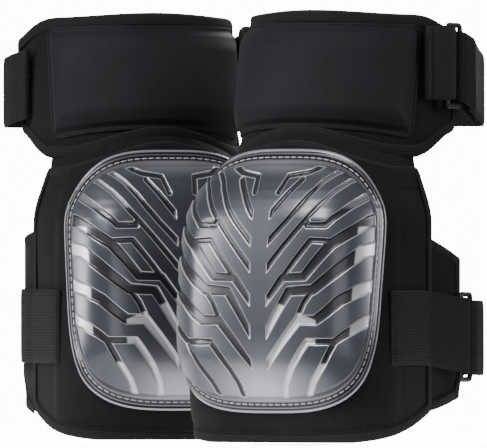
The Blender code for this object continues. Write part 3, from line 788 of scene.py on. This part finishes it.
def build_cap():
    arc, up = cap_flat(*grid_uv(301, 281))
    inward = cap_edge(arc, up)
    inside = np.minimum(groove_field(arc, up), (inward / MM - GROOVE_MARGIN))
    depth = smooth((inside + 0.35) / 1.1)
    bead = 0.9 * MM * (1 - ramp(inward, 1.2, 1.2)) - 0.9 * MM * (1 - ramp(inward, 0, 1.4))
    rise = cap_rise(inward)
    top = cap_points(arc, up, CAP_SEAT + CAP_THICKNESS + rise + bead - depth * GROOVE_DEPTH)
    under = cap_points(arc, up, CAP_SEAT + rise * 0.97)
    extra = {"groove_gap": inside, "painted_floor_reflection": 0 * arc, "painted_block_highlight": 0 * arc, "inward": inward / MM}
    mesh = grid_solid("clear_cap", top, under, join(arc, up), extra)
    place("knee_cap", mesh, CLEAR, "knee", "knee_cap", "clear_cap")
    light_caps()

    arc, up = cap_flat(*grid_uv(81, 81, -0.97, 0.97))
    rise = cap_rise(cap_edge(arc, up))
    top, under = cap_points(arc, up, CAP_SEAT + rise * 0.97 - 0.25 * MM), cap_points(arc, up, 0.5 * MM)
    mesh = grid_solid("cap_filler", top, under, join(arc, up))
    place("cap_backing", mesh, FILLER, "knee", "cap_backing", "cap_filler")

    outline = join(*cap_flat(*square_rim(91, 91)))
    rim = resampled(inset_line(outline, CAP_STITCH_INSET), 1 * MM)
    seat = CAP_SEAT + CAP_THICKNESS
    centres, normals = rail(cap_points, rim[:, 0], rim[:, 1], seat + 0.25 * MM, seat + 2 * MM)
    mesh = stitches("cap_stitches", centres, normals, CAP_STITCH_PITCH, 0.5 * MM, 0.98, closed=True)
    place("cap_stitching", mesh, CAP_THREAD_PAINTED_LIGHT, "knee", "cap_stitching", "thread")


def inset_line(rim, inset):
    """A closed flat line moved inwards, evenly, with its start repeated at the end."""
    ahead = unit(np.roll(rim, -1, 0) - np.roll(rim, 1, 0))
    inner = rim + join(-ahead[:, 1], ahead[:, 0]) * inset
    return np.vstack([inner, inner[:1]])


def resampled(points, step):
    """A closed run of points, evenly spaced, without the repeated last one."""
    length = np.concatenate([[0], np.cumsum(np.linalg.norm(np.diff(points, axis=0), axis=1))])
    at = np.linspace(0, length[-1], int(length[-1] / step), endpoint=False)
    return np.stack([np.interp(at, length, points[:, i]) for i in range(points.shape[1])], axis=-1)


def pocket_seam(half_u, half_v, inset):
    """u and v round a square path this far inside the pocket's edge."""
    a, b = 1 - inset / half_u, 1 - inset / half_v
    t = np.linspace(-1, 1, 90, endpoint=False)
    one = np.ones_like(t)
    u = np.concatenate([t * a, one * a, -t * a, -one * a])
    v = np.concatenate([-one * b, t * b, one * b, -t * b])
    return u, v


build_cap()


# Knee body


def seam_ledge(z, height):
    """A lapped seam: the piece above lies over the one below, pressed down along the stitching."""
    lap = 0.7 * MM * smooth((z - height) / (0.8 * MM)) * (1 - smooth((z - height) / (16 * MM)))
    return lap - 0.5 * MM * np.exp(-(((z - height - 3 * MM) / (0.8 * MM)) ** 2))


def cover_relief(fraction, z):
    """How far the cover stands off its plain section: puffed round the cap, lapped at the seams, wavy."""
    s = fraction * SIDE_ARC
    from_cap = np.hypot(np.maximum(0, np.abs(s) - CAP_HALF_ARC), np.maximum(0, np.abs(z) - CAP_HALF_HEIGHT))
    puff = 1.3 * MM * (1 - ramp(from_cap, 0, 12))
    seam = seam_ledge(z, 61 * MM) * ramp(np.abs(s), 92, 6)
    seam = seam + seam_ledge(z, 22 * MM) * ramp(s, 98, 6)
    folds = waves(s, z * 1.7, 4, 9, 75) * 0.7 * MM * ramp(from_cap, 0, 10)
    gathers = 0.35 * MM * np.sin(s / (7.5 * MM) + 2 * waves(s, z, 5, 4, 30)) * ramp(-z, 86, 10)
    roll = -0.8 * MM * ramp(z, 84, 6)
    return puff + seam + folds + gathers + roll


def build_body():
    u, v = grid_uv(241, 181)
    z = lerp(body_bottom(u), body_top(u), (v + 1) / 2)
    relief = cover_relief(u, z)
    outer = body_points(u, z, relief)
    inner = body_points(u, z, np.minimum(relief, 0) - KNIT_THICKNESS)
    cloth = join(u * SIDE_ARC, z)
    place_sheet("knee_cover", outer, inner, cloth, KNIT, "knee", "black_neoprene")
    u, v = grid_uv(121, 91)
    z = lerp(body_bottom(u), body_top(u), (v + 1) / 2)
    quilt = 0.5 * MM * waves(u * SIDE_ARC, z, 8, 6, 70)
    outer = body_points(u, z, lining_offset(u, z))
    inner = body_points(u, z, lining_offset(u, z) - LINING_THICKNESS + quilt)
    cloth = join(u * SIDE_ARC, z)
    place_sheet("knee_lining", outer, inner, cloth, LINING, "knee", "lining")

    edge = border(body_bottom, body_top, 1.0, 61, 2)
    profile = wrap_profile(5.2 * MM, 1.0 * MM, 0.5 * MM, 9.4 * MM)
    edge_tape("hem_binding", body_points, edge, profile, "knee", "hem_binding")
    line = np.linspace(-0.97, 0.97, 200)
    z = body_bottom(line) + HEM_STITCH_HEIGHT
    centres, normals = rail(body_points, line, z, 0.75 * MM + cover_relief(line, z) * 0.4, 3 * MM)
    mesh = stitches("hem_stitches", centres, normals, 2.4 * MM, SEAM_STITCH)
    place("hem_stitches", mesh, SEAM_THREAD, "knee", slot="thread")


def build_wing(sign, plan, end_low, end_high):
    """The soft flap behind the knee body's side, drawn in by the calf strap."""
    name = "left" if sign < 0 else "right"
    u, v = grid_uv(41, 111, 0.0, 1.0)
    low, high = lerp(body_bottom(1.0), end_low, u), lerp(WING_TOP, end_high, u)
    z = lerp(low, high, v)
    ripples = 0.9 * MM * np.sin(z / (5.5 * MM) + 3 * u) * smooth(u / 0.5) * ramp(-z, 6, 12)
    ripples += waves(u * 60 * MM, z, 12, 7, 110) * 0.8 * MM * smooth(u / 0.3)
    faces = []
    for offset in (1.5 * MM, -1.5 * MM):
        flat = plan.at(u, offset + ripples)
        faces.append(np.concatenate([flat, z[..., None]], axis=-1))
    cloth = join(u * plan.total, z)
    place_sheet(f"calf_wing_{name}", *faces, cloth, KNIT, "knee", "black_neoprene")

    t = np.linspace(0.04, 1, 40)
    along = np.concatenate([t, np.ones(58), t[::-1]])
    ends = np.linspace(end_low, end_high, 60)[1:-1]
    heights = np.concatenate([lerp(body_bottom(1.0), end_low, t), ends, lerp(WING_TOP, end_high, t[::-1])])
    ripple = 0.9 * MM * np.sin(heights / (5.5 * MM) + 3 * along) * smooth(along / 0.5)
    ripple *= ramp(-heights, 6, 12)
    centres = np.concatenate([plan.at(along, ripple), heights[:, None]], axis=1)
    beyond = np.concatenate([plan.at(along, ripple + 2 * MM), heights[:, None]], axis=1)
    profile = wrap_profile(5.5 * MM, 0.8 * MM, 1.6 * MM, 1.6 * MM)
    mesh = sweep(f"wing_binding_{name}", centres, (beyond - centres) * sign * plan.out * -1, profile)
    place(f"wing_binding_{name}", mesh, BINDING, "knee", f"wing_binding_{name}", "binding")


LEFT_WING = Plan(((-73, -29.4), (-72.6, -14), (-70.5, 0), (-67.5, 10)), -1)
RIGHT_WING = Plan(((73, -29.4), (74.3, -17), (74.8, -5), (74.5, 8)), 1)
build_body()
build_wing(-1, LEFT_WING, -74 * MM, 22 * MM)
build_wing(1, RIGHT_WING, -76 * MM, 14 * MM)


# Thigh panel


def panel_grid(columns, rows):
    u, v = grid_uv(columns, rows)
    angle = u * WING_END
    return angle, lerp(panel_bottom(angle), panel_top(angle), (v + 1) / 2)


def panel_relief(angle, z):
    s = angle * THIGH_RADIUS
    high, low = panel_top(angle), panel_bottom(angle)
    puff = 0.9 * MM * smooth((high - z) / (10 * MM)) * smooth((z - low) / (10 * MM))
    return puff + 0.7 * MM * waves(s, z * 1.4, 21, 8, 70) - 0.5 * MM


def build_panel():
    angle, z = panel_grid(241, 91)
    relief = panel_relief(angle, z)
    cloth = join(angle * THIGH_RADIUS, z)
    outer, inner = thigh_points(angle, z, relief), thigh_points(angle, z, relief - 1.3 * MM)
    place_sheet("thigh_panel", outer, inner, cloth, KNIT, "thigh", "black_neoprene")
    angle, z = panel_grid(121, 41)
    cloth = join(angle * THIGH_RADIUS, z)
    base = -THIGH_LINING_DEPTH + 0 * z
    quilt = 0.5 * MM * waves(angle * THIGH_RADIUS, z, 23, 6, 70)
    outer, inner = thigh_points(angle, z, base), thigh_points(angle, z, base - LINING_THICKNESS + quilt)
    place_sheet("thigh_lining", outer, inner, cloth, LINING, "thigh", "lining")

    edge = border(panel_bottom, panel_top, WING_END, 41, 4)
    profile = wrap_profile(6.6 * MM, 1.0 * MM, 0.4 * MM, 8.6 * MM)
    nodes = ("thigh_top_binding", "thigh_hem_binding")
    edge_tape("thigh_binding", thigh_points, edge, profile, "thigh", nodes)


def build_gusset():
    """The stretch strip that joins the knee body to the thigh panel."""
    u, v = grid_uv(161, 25)
    v = (v + 1) / 2
    fraction = u * 0.99
    start = body_points(fraction, body_top(fraction) - 3 * MM, -2.2 * MM + 0 * u)
    angle = np.arctan2(start[..., 0], -start[..., 1])
    end = thigh_points(angle, panel_bottom(angle) + 4 * MM, -2.6 * MM + 0 * u)
    puckers = 0.35 * MM * np.sin(u * SIDE_ARC / (4.2 * MM) + 3 * waves(u * SIDE_ARC, v * 10 * MM, 31, 4, 40))
    bulge = np.sin(v * math.pi) * (1.5 * MM + puckers)
    way = unit(join(start[..., 0], start[..., 1] + SECTION_CENTRE * 0.5, 0 * u))
    middle = lerp(start, end, smooth(v)[..., None]) + way * bulge[..., None]
    cloth = join(fraction * SIDE_ARC, v * 14 * MM)
    mesh = grid_solid("knee_gusset", middle, middle - way * 1.2 * MM, cloth)
    for side in SIDES:
        obj = pad_object(f"{side}_knee_gusset_look", mesh, KNIT, side)
        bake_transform(obj)
        PIECES[side, "knee_gusset"] = obj


def pocket_bounds(u, v):
    across, up = rounded(u, v, 0.1, 0.2)
    bottom = 92 * MM + 8 * MM * (1 - across**2)
    top = 168.5 * MM - 1.5 * MM * across**2
    return across * POCKET_HALF_ANGLE, lerp(bottom, top, (up + 1) / 2)


def build_pocket():
    """The padded front pocket: a crowned cushion sewn flat along its edges."""
    u, v = grid_uv(221, 121)
    angle, z = pocket_bounds(u, v)
    from_side = (1 - np.abs(u)) * POCKET_HALF_ANGLE * THIGH_RADIUS
    from_edge = np.minimum(from_side, (1 - np.abs(v)) * POCKET_HALF_HEIGHT)
    crown = ramp(from_edge, 2.4, 15) * 0.6 + ramp(from_edge, 2.4, 5) * 0.4
    slack = waves(angle * THIGH_RADIUS, z * 2, 41, 9, 60) * 0.6
    slack = slack + waves(angle * THIGH_RADIUS * 2, z, 42, 7, 120) * 0.4
    wrinkle = slack * 0.9 * MM * ramp(from_edge, 2, 6)
    outer = 1.5 * MM + POCKET_CROWN * crown + wrinkle
    cloth = join(angle * THIGH_RADIUS, z)
    outer, inner = thigh_points(angle, z, outer), thigh_points(angle, z, 0.3 * MM + 0 * z)
    place_sheet("thigh_pocket", outer, inner, cloth, TWILL, "thigh", "pocket_twill")
    su, sv = pocket_seam(POCKET_HALF_ANGLE * THIGH_RADIUS, POCKET_HALF_HEIGHT, 1.5 * MM)
    centres, normals = rail(thigh_points, *pocket_bounds(su, sv), 1.7 * MM, 4 * MM)
    mesh = stitches("pocket_stitches", centres, normals, 2.3 * MM, 0.3 * MM, 0.8, closed=True)
    place("pocket_stitches", mesh, SEAM_THREAD, "thigh", slot="thread")


build_panel()
build_gusset()
build_pocket()


# Straps


def calf_slope(x, y):
    return -7 * MM * ramp(y, -45, 60) * ramp(x, -60, 120)


def thigh_slope(x, y):
    right = 14 * MM - 17 * MM * ramp(y, -12, 60)
    left = 4 * MM - 7 * MM * ramp(y, -24, 54)
    return np.where(x > 0, right, left)


def arc(centre, radius, start, end, steps):
    turn = np.radians(np.linspace(start, end, steps + 1))
    return [(centre[0] + radius * math.cos(a), centre[1] + radius * math.sin(a)) for a in turn]


def strip(name, plan, thickness, low, high, slope, span=(0.0, 1.0), relief=None, steps=160):
    """A band on edge along a plan path, with softened edges. relief(along, up) adds to its outer face."""
    t, v = np.meshgrid(np.linspace(*span, steps), np.linspace(0, 1, 41))
    v = 0.5 - 0.5 * np.cos(v * math.pi)
    flat = plan.at(t)
    z = lerp(low, high, v) + slope(flat[..., 0], flat[..., 1])
    half = thickness / 2 * np.sqrt(np.clip(1 - np.abs(2 * v - 1) ** 10, 0.12, 1))
    along = t * plan.total
    extra = relief(along, z) if relief else 0 * t
    outer = np.concatenate([plan.at(t, half + extra), z[..., None]], axis=-1)
    inner = np.concatenate([plan.at(t, -half), z[..., None]], axis=-1)
    cloth = join(along, v * (high - low))
    return upright(grid_solid(name, outer, inner, cloth))


class StrapSet:
    """One strap's paths, as in the CAD: its tab, its ring, its run and the folded-back end with its tapes."""

    def __init__(self, tab, run, ring, heading, flap_length, patch_length, low, high, slope):
        self.low, self.high, self.slope = low, high, slope
        way = np.array([math.cos(math.radians(heading)), math.sin(math.radians(heading))])
        out = np.array([way[1], -way[0]])
        self.front_bar = np.array(ring) - way * BAR_REACH
        self.back_bar = np.array(ring) + way * BAR_REACH
        tab_end = [tuple(self.front_bar - out * FOLD_RADIUS - way * back) for back in (3, 7)]
        turn = arc(self.front_bar, FOLD_RADIUS, heading - 90, heading + 90, 6)
        self.tab = Plan([*tab, *turn, *tab_end], -1)
        turn = arc(self.back_bar, FOLD_RADIUS, heading + 90, heading + 270, 6)
        run_end = [tuple(self.back_bar + out * FOLD_RADIUS + way * back) for back in (4, 9)]
        self.run = Plan([*run, *turn, *run_end], 1)
        self.base = Plan([*run, turn[0]], 1)
        stack = 2.2 + 2 * 1.2 + 3 * 0.5
        start = tuple(self.back_bar + out * FOLD_RADIUS + way * (9 + 1.2))
        self.flap = Plan([start, *(self.beside(b, stack) for b in np.arange(24, flap_length, 10))], -1)
        self.patch = Plan([self.beside(b, 2.2) for b in np.arange(18, patch_length, 10)], -1)
        self.hook = Plan([self.beside(b, stack - 2.2) for b in np.arange(28, flap_length - 6, 8)], -1)
        self.rise = float(slope(*(np.array(ring) * MM)))

    def beside(self, back, offset):
        return tuple(self.base.at(1 - back * MM / self.base.total, offset * MM) / MM)


def side_points(sign, fractions, height):
    points = body_points(sign * np.array(fractions), height, 1.4 * MM)
    return [tuple(p[:2] / MM) for p in points]


def round_points(places):
    return [(r * math.sin(math.radians(a)), -r * math.cos(math.radians(a))) for a, r in places]


def calf_set():
    low, high = -55 * MM, -6 * MM
    shares = (0.63, 0.71, 0.79, 0.87, 0.94, 0.99)
    left, right = side_points(-1, shares, low), side_points(1, shares, low)
    tab = [*right, (79.4, -24), (83.4, -14)]
    run = [*left, (-77.3, -15), (-74.6, 0), (-70.5, 12), (-60, 29), (-42, 47)]
    run += [(-15, 58), (15, 58.5), (42, 49), (63, 36)]
    return StrapSet(tab, run, (83.8, 2.5), 95, 62, 92, low, high, calf_slope)


def thigh_set():
    back = ((-72, 72.9), (-80, 73.6), (-88, 76.5), (-98, 80.5))
    back += ((-110, 83), (-132, 84), (-156, 83), (-180, 82))
    right = ((156, 82), (136, 81.5), (120, 80.5), (108, 78.5))
    tab = round_points(((68.5, 73.2), (72.5, 74), (76, 79)))
    ring = round_points(((86, 79.6),))[0]
    run = round_points(back + right)
    return StrapSet(tab, run, ring, 86, 76, 108, 104 * MM, 150 * MM, thigh_slope)


def ring_mesh(straps):
    low, high = straps.low + straps.rise - RING_OVERHANG, straps.high + straps.rise + RING_OVERHANG
    corner, span = 2.5 * MM, 2 * BAR_REACH * MM
    corners = ((corner, low, 180), (span - corner, low, 270), (span - corner, high, 0), (corner, high, 90))
    points = []
    for along, height, start in corners:
        inside = height + corner if height == low else height - corner
        for angle in np.radians(start + np.linspace(0, 90, 7)):
            spot = lerp(straps.front_bar, straps.back_bar, (along + corner * math.cos(angle)) / span) * MM
            points.append((*spot, inside + corner * math.sin(angle)))
    points = resampled(np.array(points + points[:1]), 1.2 * MM)
    way = unit(np.append(straps.back_bar - straps.front_bar, 0))
    normal = np.cross(way, (0, 0, 1))
    normals = np.tile(normal, (len(points), 1))
    return sweep("ring", points, normals, round_profile(RING_RADIUS, 12), closed=True)


def seam_line(name, plan, t, low, high, slope, offset, group):
    """Stitches up the width of a strap, where it is sewn down."""
    z = np.linspace(low + 2 * MM, high - 2 * MM, 30)
    flat, beyond = plan.at(t, offset), plan.at(t, offset + 2 * MM)
    z = z + slope(*flat)
    centres = join(0 * z + flat[0], 0 * z + flat[1], z)
    normals = join(0 * z + beyond[0], 0 * z + beyond[1], z) - centres
    mesh = stitches(name, centres, normals, 2.2 * MM, SEAM_STITCH)
    place(name, mesh, SEAM_THREAD, group, slot="thread")


def place_flap(name, mesh, material, held, body, slot):
    """Places a copy of a strap end on each pad, in place of its CAD node, with the pad's placement baked into
    the mesh.
    """
    along = cloth_of(mesh).astype(float)[:, 0]
    along -= along.min()
    for side in SIDES:
        obj = pad_object(f"{side}_{name}_look", mesh, material, side)
        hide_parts(f"{side}_{name}")
        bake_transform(obj)
        PIECES[side, name] = obj


def wavy(seed, size):
    """A relief of slow waves of this size."""
    return lambda along, z: size * waves(along, z * 1.2, seed, 7, 60)


def sewn_fold(first, last):
    """The relief of a doubled, sewn end between these two places along the strap."""

    def relief(along, z):
        edge = smooth((along - first) / (1.2 * MM)) * (1 - smooth((along - last) / (1.2 * MM)))
        lumps = 2.1 * MM * edge * (1 + 0.1 * waves(along, z, 51, 5, 200))
        return lumps + 0.3 * MM * waves(along, z, 52, 7, 50)

    return relief


def thigh_tab_relief(along, z):
    """One sewn ridge up the tab, at its stitched end."""
    ridge = smooth((along - 1.5 * MM) / (1 * MM)) * (1 - smooth((along - 6.5 * MM) / (1 * MM)))
    return 1.9 * MM * ridge + 0.3 * MM * waves(along, z, 57, 6, 110)


def build_straps(prefix, straps, group, web, slot, tab_span, tab_rise, tab_relief, tab_seam, fold):
    """One strap's pieces, and the stitches at its tab, its sewn end and its loose end."""
    low, high, slope = straps.low, straps.high, straps.slope

    def build(name, plan, thickness, relief=None, span=(0.0, 1.0), steps=160, rise=0, inset=0):
        name, bottom, top = f"{prefix}_{name}", low + inset, high + rise - inset
        return name, strip(name, plan, thickness, bottom, top, slope, span, relief, steps)

    def add(name, mesh, material, node_slot):
        place(name, mesh, material, group, name, node_slot)

    add(*build("tab", straps.tab, STRAP_THICKNESS, tab_relief, tab_span, 260, tab_rise), web, slot)
    folded = sewn_fold(*(share * straps.run.total for share in fold))
    add(*build("strap", straps.run, STRAP_THICKNESS, folded, (fold[0], 1.0), 420), ELASTIC, "elastic")
    add(*build("loop_patch", straps.patch, TAPE_THICKNESS, inset=3 * MM), LOOP, "loop_tape")
    place(f"{prefix}_ring", ring_mesh(straps), RING, f"{prefix}_ring", f"{prefix}_ring", "ring_plastic")
    end = build("strap_end", straps.flap, STRAP_THICKNESS, wavy(54, 0.2 * MM))
    place_flap(*end, web, group, f"{prefix}_flap", slot)
    for name, plan, share, body in (
        ("tab_stitches", straps.tab, tab_seam, group),
        ("sewn_stitches", straps.run, fold[1] + 0.012, group),
        ("end_stitches", straps.flap, 0.93, f"{prefix}_flap"),
    ):
        seam_line(f"{prefix}_{name}", plan, share, low, high, slope, 1.2 * MM, body)


CALF, THIGH = calf_set(), thigh_set()
CALF_TAB = (0.0, 1.0), 0, wavy(53, 0.25 * MM), 0.04
THIGH_TAB = (0.06, 1.0), 2.6 * MM, thigh_tab_relief, 0.08
build_straps("calf", CALF, "knee", ELASTIC, "elastic", *CALF_TAB, (0.0, 0.01))
build_straps("thigh", THIGH, "thigh", WEBBING, "webbing", *THIGH_TAB, (0.042, 0.066))
low, high = CALF.low + 4 * MM, CALF.high - 4 * MM
mesh = strip("calf_hook_tape", CALF.hook, TAPE_THICKNESS, low, high, calf_slope)
place("calf_hook_tape", mesh, HOOK, "calf_flap", "calf_hook_tape", "hook_tape")


# Soft pieces, and the CAD pieces that stay


def cloth_size(mesh):
    """Width, length and area of the cloth that a thin closed piece was cut from, from its mesh."""
    area = sum(face.area for face in mesh.polygons) / 2
    spread = np.ptp(cloth_of(mesh), axis=0)[:2]
    width = max(spread[0], 0.012)
    length = max(spread[1], area / width, 0.012)
    return (float(width), float(length)), float(area)


for side in SIDES:
    for name in ("calf_wing_left", "calf_wing_right", "knee_gusset"):
        piece = PIECES[side, name]
        flat, area = cloth_size(piece.data)
    for name in ("foam_core", "gel_insert", "thigh_foam", "pocket_foam"):
        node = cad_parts[f"{side}_{name}"]
        node.data.materials.clear()
        node.data.materials.append(GEL if name == "gel_insert" else FOAM)


# Stage, light and camera

CAMERA_DISTANCE = 12.0
WHITE = 14.0
AMBIENT = 0.2
FLOOR_GLOW = 0.8
FLOOR_RADIUS = 0.26
FLOOR_HEIGHT = -105.3 * MM
FRAME_WIDTH = 487 * 0.66 * MM
FRAME_CENTRE = Vector((2.6 * MM, 0, 37 * MM))


def build_stage():
    """A floor that the camera sees as white and that lights the pads only a little."""
    rim = round_profile(FLOOR_RADIUS, 96)
    mesh = bpy.data.meshes.new("floor")
    mesh.from_pydata([(x, y, FLOOR_HEIGHT) for x, y in rim], [], [list(range(len(rim)))])
    material = bpy.data.materials.new("floor")
    material.use_nodes = True
    bsdf = material.node_tree.nodes["Principled BSDF"]
    bsdf.inputs["Base Color"].default_value = (0.9, 0.9, 0.9, 1)
    bsdf.inputs["Roughness"].default_value = 0.7
    bsdf.inputs["Emission Color"].default_value = (1, 1, 1, 1)
    tree = material.node_tree
    path, strength = tree.nodes.new("ShaderNodeLightPath"), tree.nodes.new("ShaderNodeMath")
    strength.operation = "MULTIPLY_ADD"
    strength.inputs[1].default_value, strength.inputs[2].default_value = WHITE, FLOOR_GLOW
    tree.links.new(path.outputs["Is Camera Ray"], strength.inputs[0])
    tree.links.new(strength.outputs[0], bsdf.inputs["Emission Strength"])
    mesh.materials.append(material)
    floor = bpy.data.objects.new("floor", mesh)
    bpy.context.scene.collection.objects.link(floor)


def area_light(name, place_at, target, size, energy):
    light = bpy.data.lights.new(name, "AREA")
    light.shape = "RECTANGLE"
    light.size, light.size_y = size
    light.energy = energy
    obj = bpy.data.objects.new(name, light)
    obj.location = place_at
    obj.rotation_euler = (Vector(target) - Vector(place_at)).to_track_quat("-Z", "Y").to_euler()
    bpy.context.scene.collection.objects.link(obj)


def build_world():
    """A dim surround for the light, behind which the camera sees white."""
    world = bpy.data.worlds.new("studio")
    bpy.context.scene.world = world
    world.use_nodes = True
    tree = world.node_tree
    tree.nodes.clear()
    soft, white = tree.nodes.new("ShaderNodeBackground"), tree.nodes.new("ShaderNodeBackground")
    soft.inputs[0].default_value = (0.9, 0.92, 1.0, 1)
    soft.inputs[1].default_value = AMBIENT
    white.inputs[0].default_value = (1, 1, 1, 1)
    white.inputs[1].default_value = WHITE
    path, mix = tree.nodes.new("ShaderNodeLightPath"), tree.nodes.new("ShaderNodeMixShader")
    out = tree.nodes.new("ShaderNodeOutputWorld")
    tree.links.new(path.outputs["Is Camera Ray"], mix.inputs[0])
    tree.links.new(soft.outputs[0], mix.inputs[1])
    tree.links.new(white.outputs[0], mix.inputs[2])
    tree.links.new(mix.outputs[0], out.inputs[0])


def build_camera():
    camera = bpy.data.cameras.new("camera")
    camera.lens = camera.sensor_width * CAMERA_DISTANCE / FRAME_WIDTH
    camera.clip_start, camera.clip_end = 0.1, 50
    obj = bpy.data.objects.new("camera", camera)
    obj.location = FRAME_CENTRE - Vector((0, CAMERA_DISTANCE, 0))
    obj.rotation_euler = (math.pi / 2, 0, 0)
    bpy.context.scene.collection.objects.link(obj)
    bpy.context.scene.camera = obj


build_stage()
build_world()
build_camera()
area_light("key", (-0.75, -1.1, 1.25), (0, 0, 0.04), (0.6, 0.6), 26)
area_light("left", (-1.7, -0.55, 0.25), (0, -0.1, 0), (0.5, 1.1), 24)
area_light("front", (0.25, -2.2, 0.1), (0, 0, 0), (1.2, 1.2), 8)
area_light("right", (1.5, -0.6, 0.5), (0, 0, 0.02), (0.4, 1.0), 14)
area_light("back", (0.8, 1.9, 1.1), (0, 0, 0.03), (1.0, 1.0), 30)
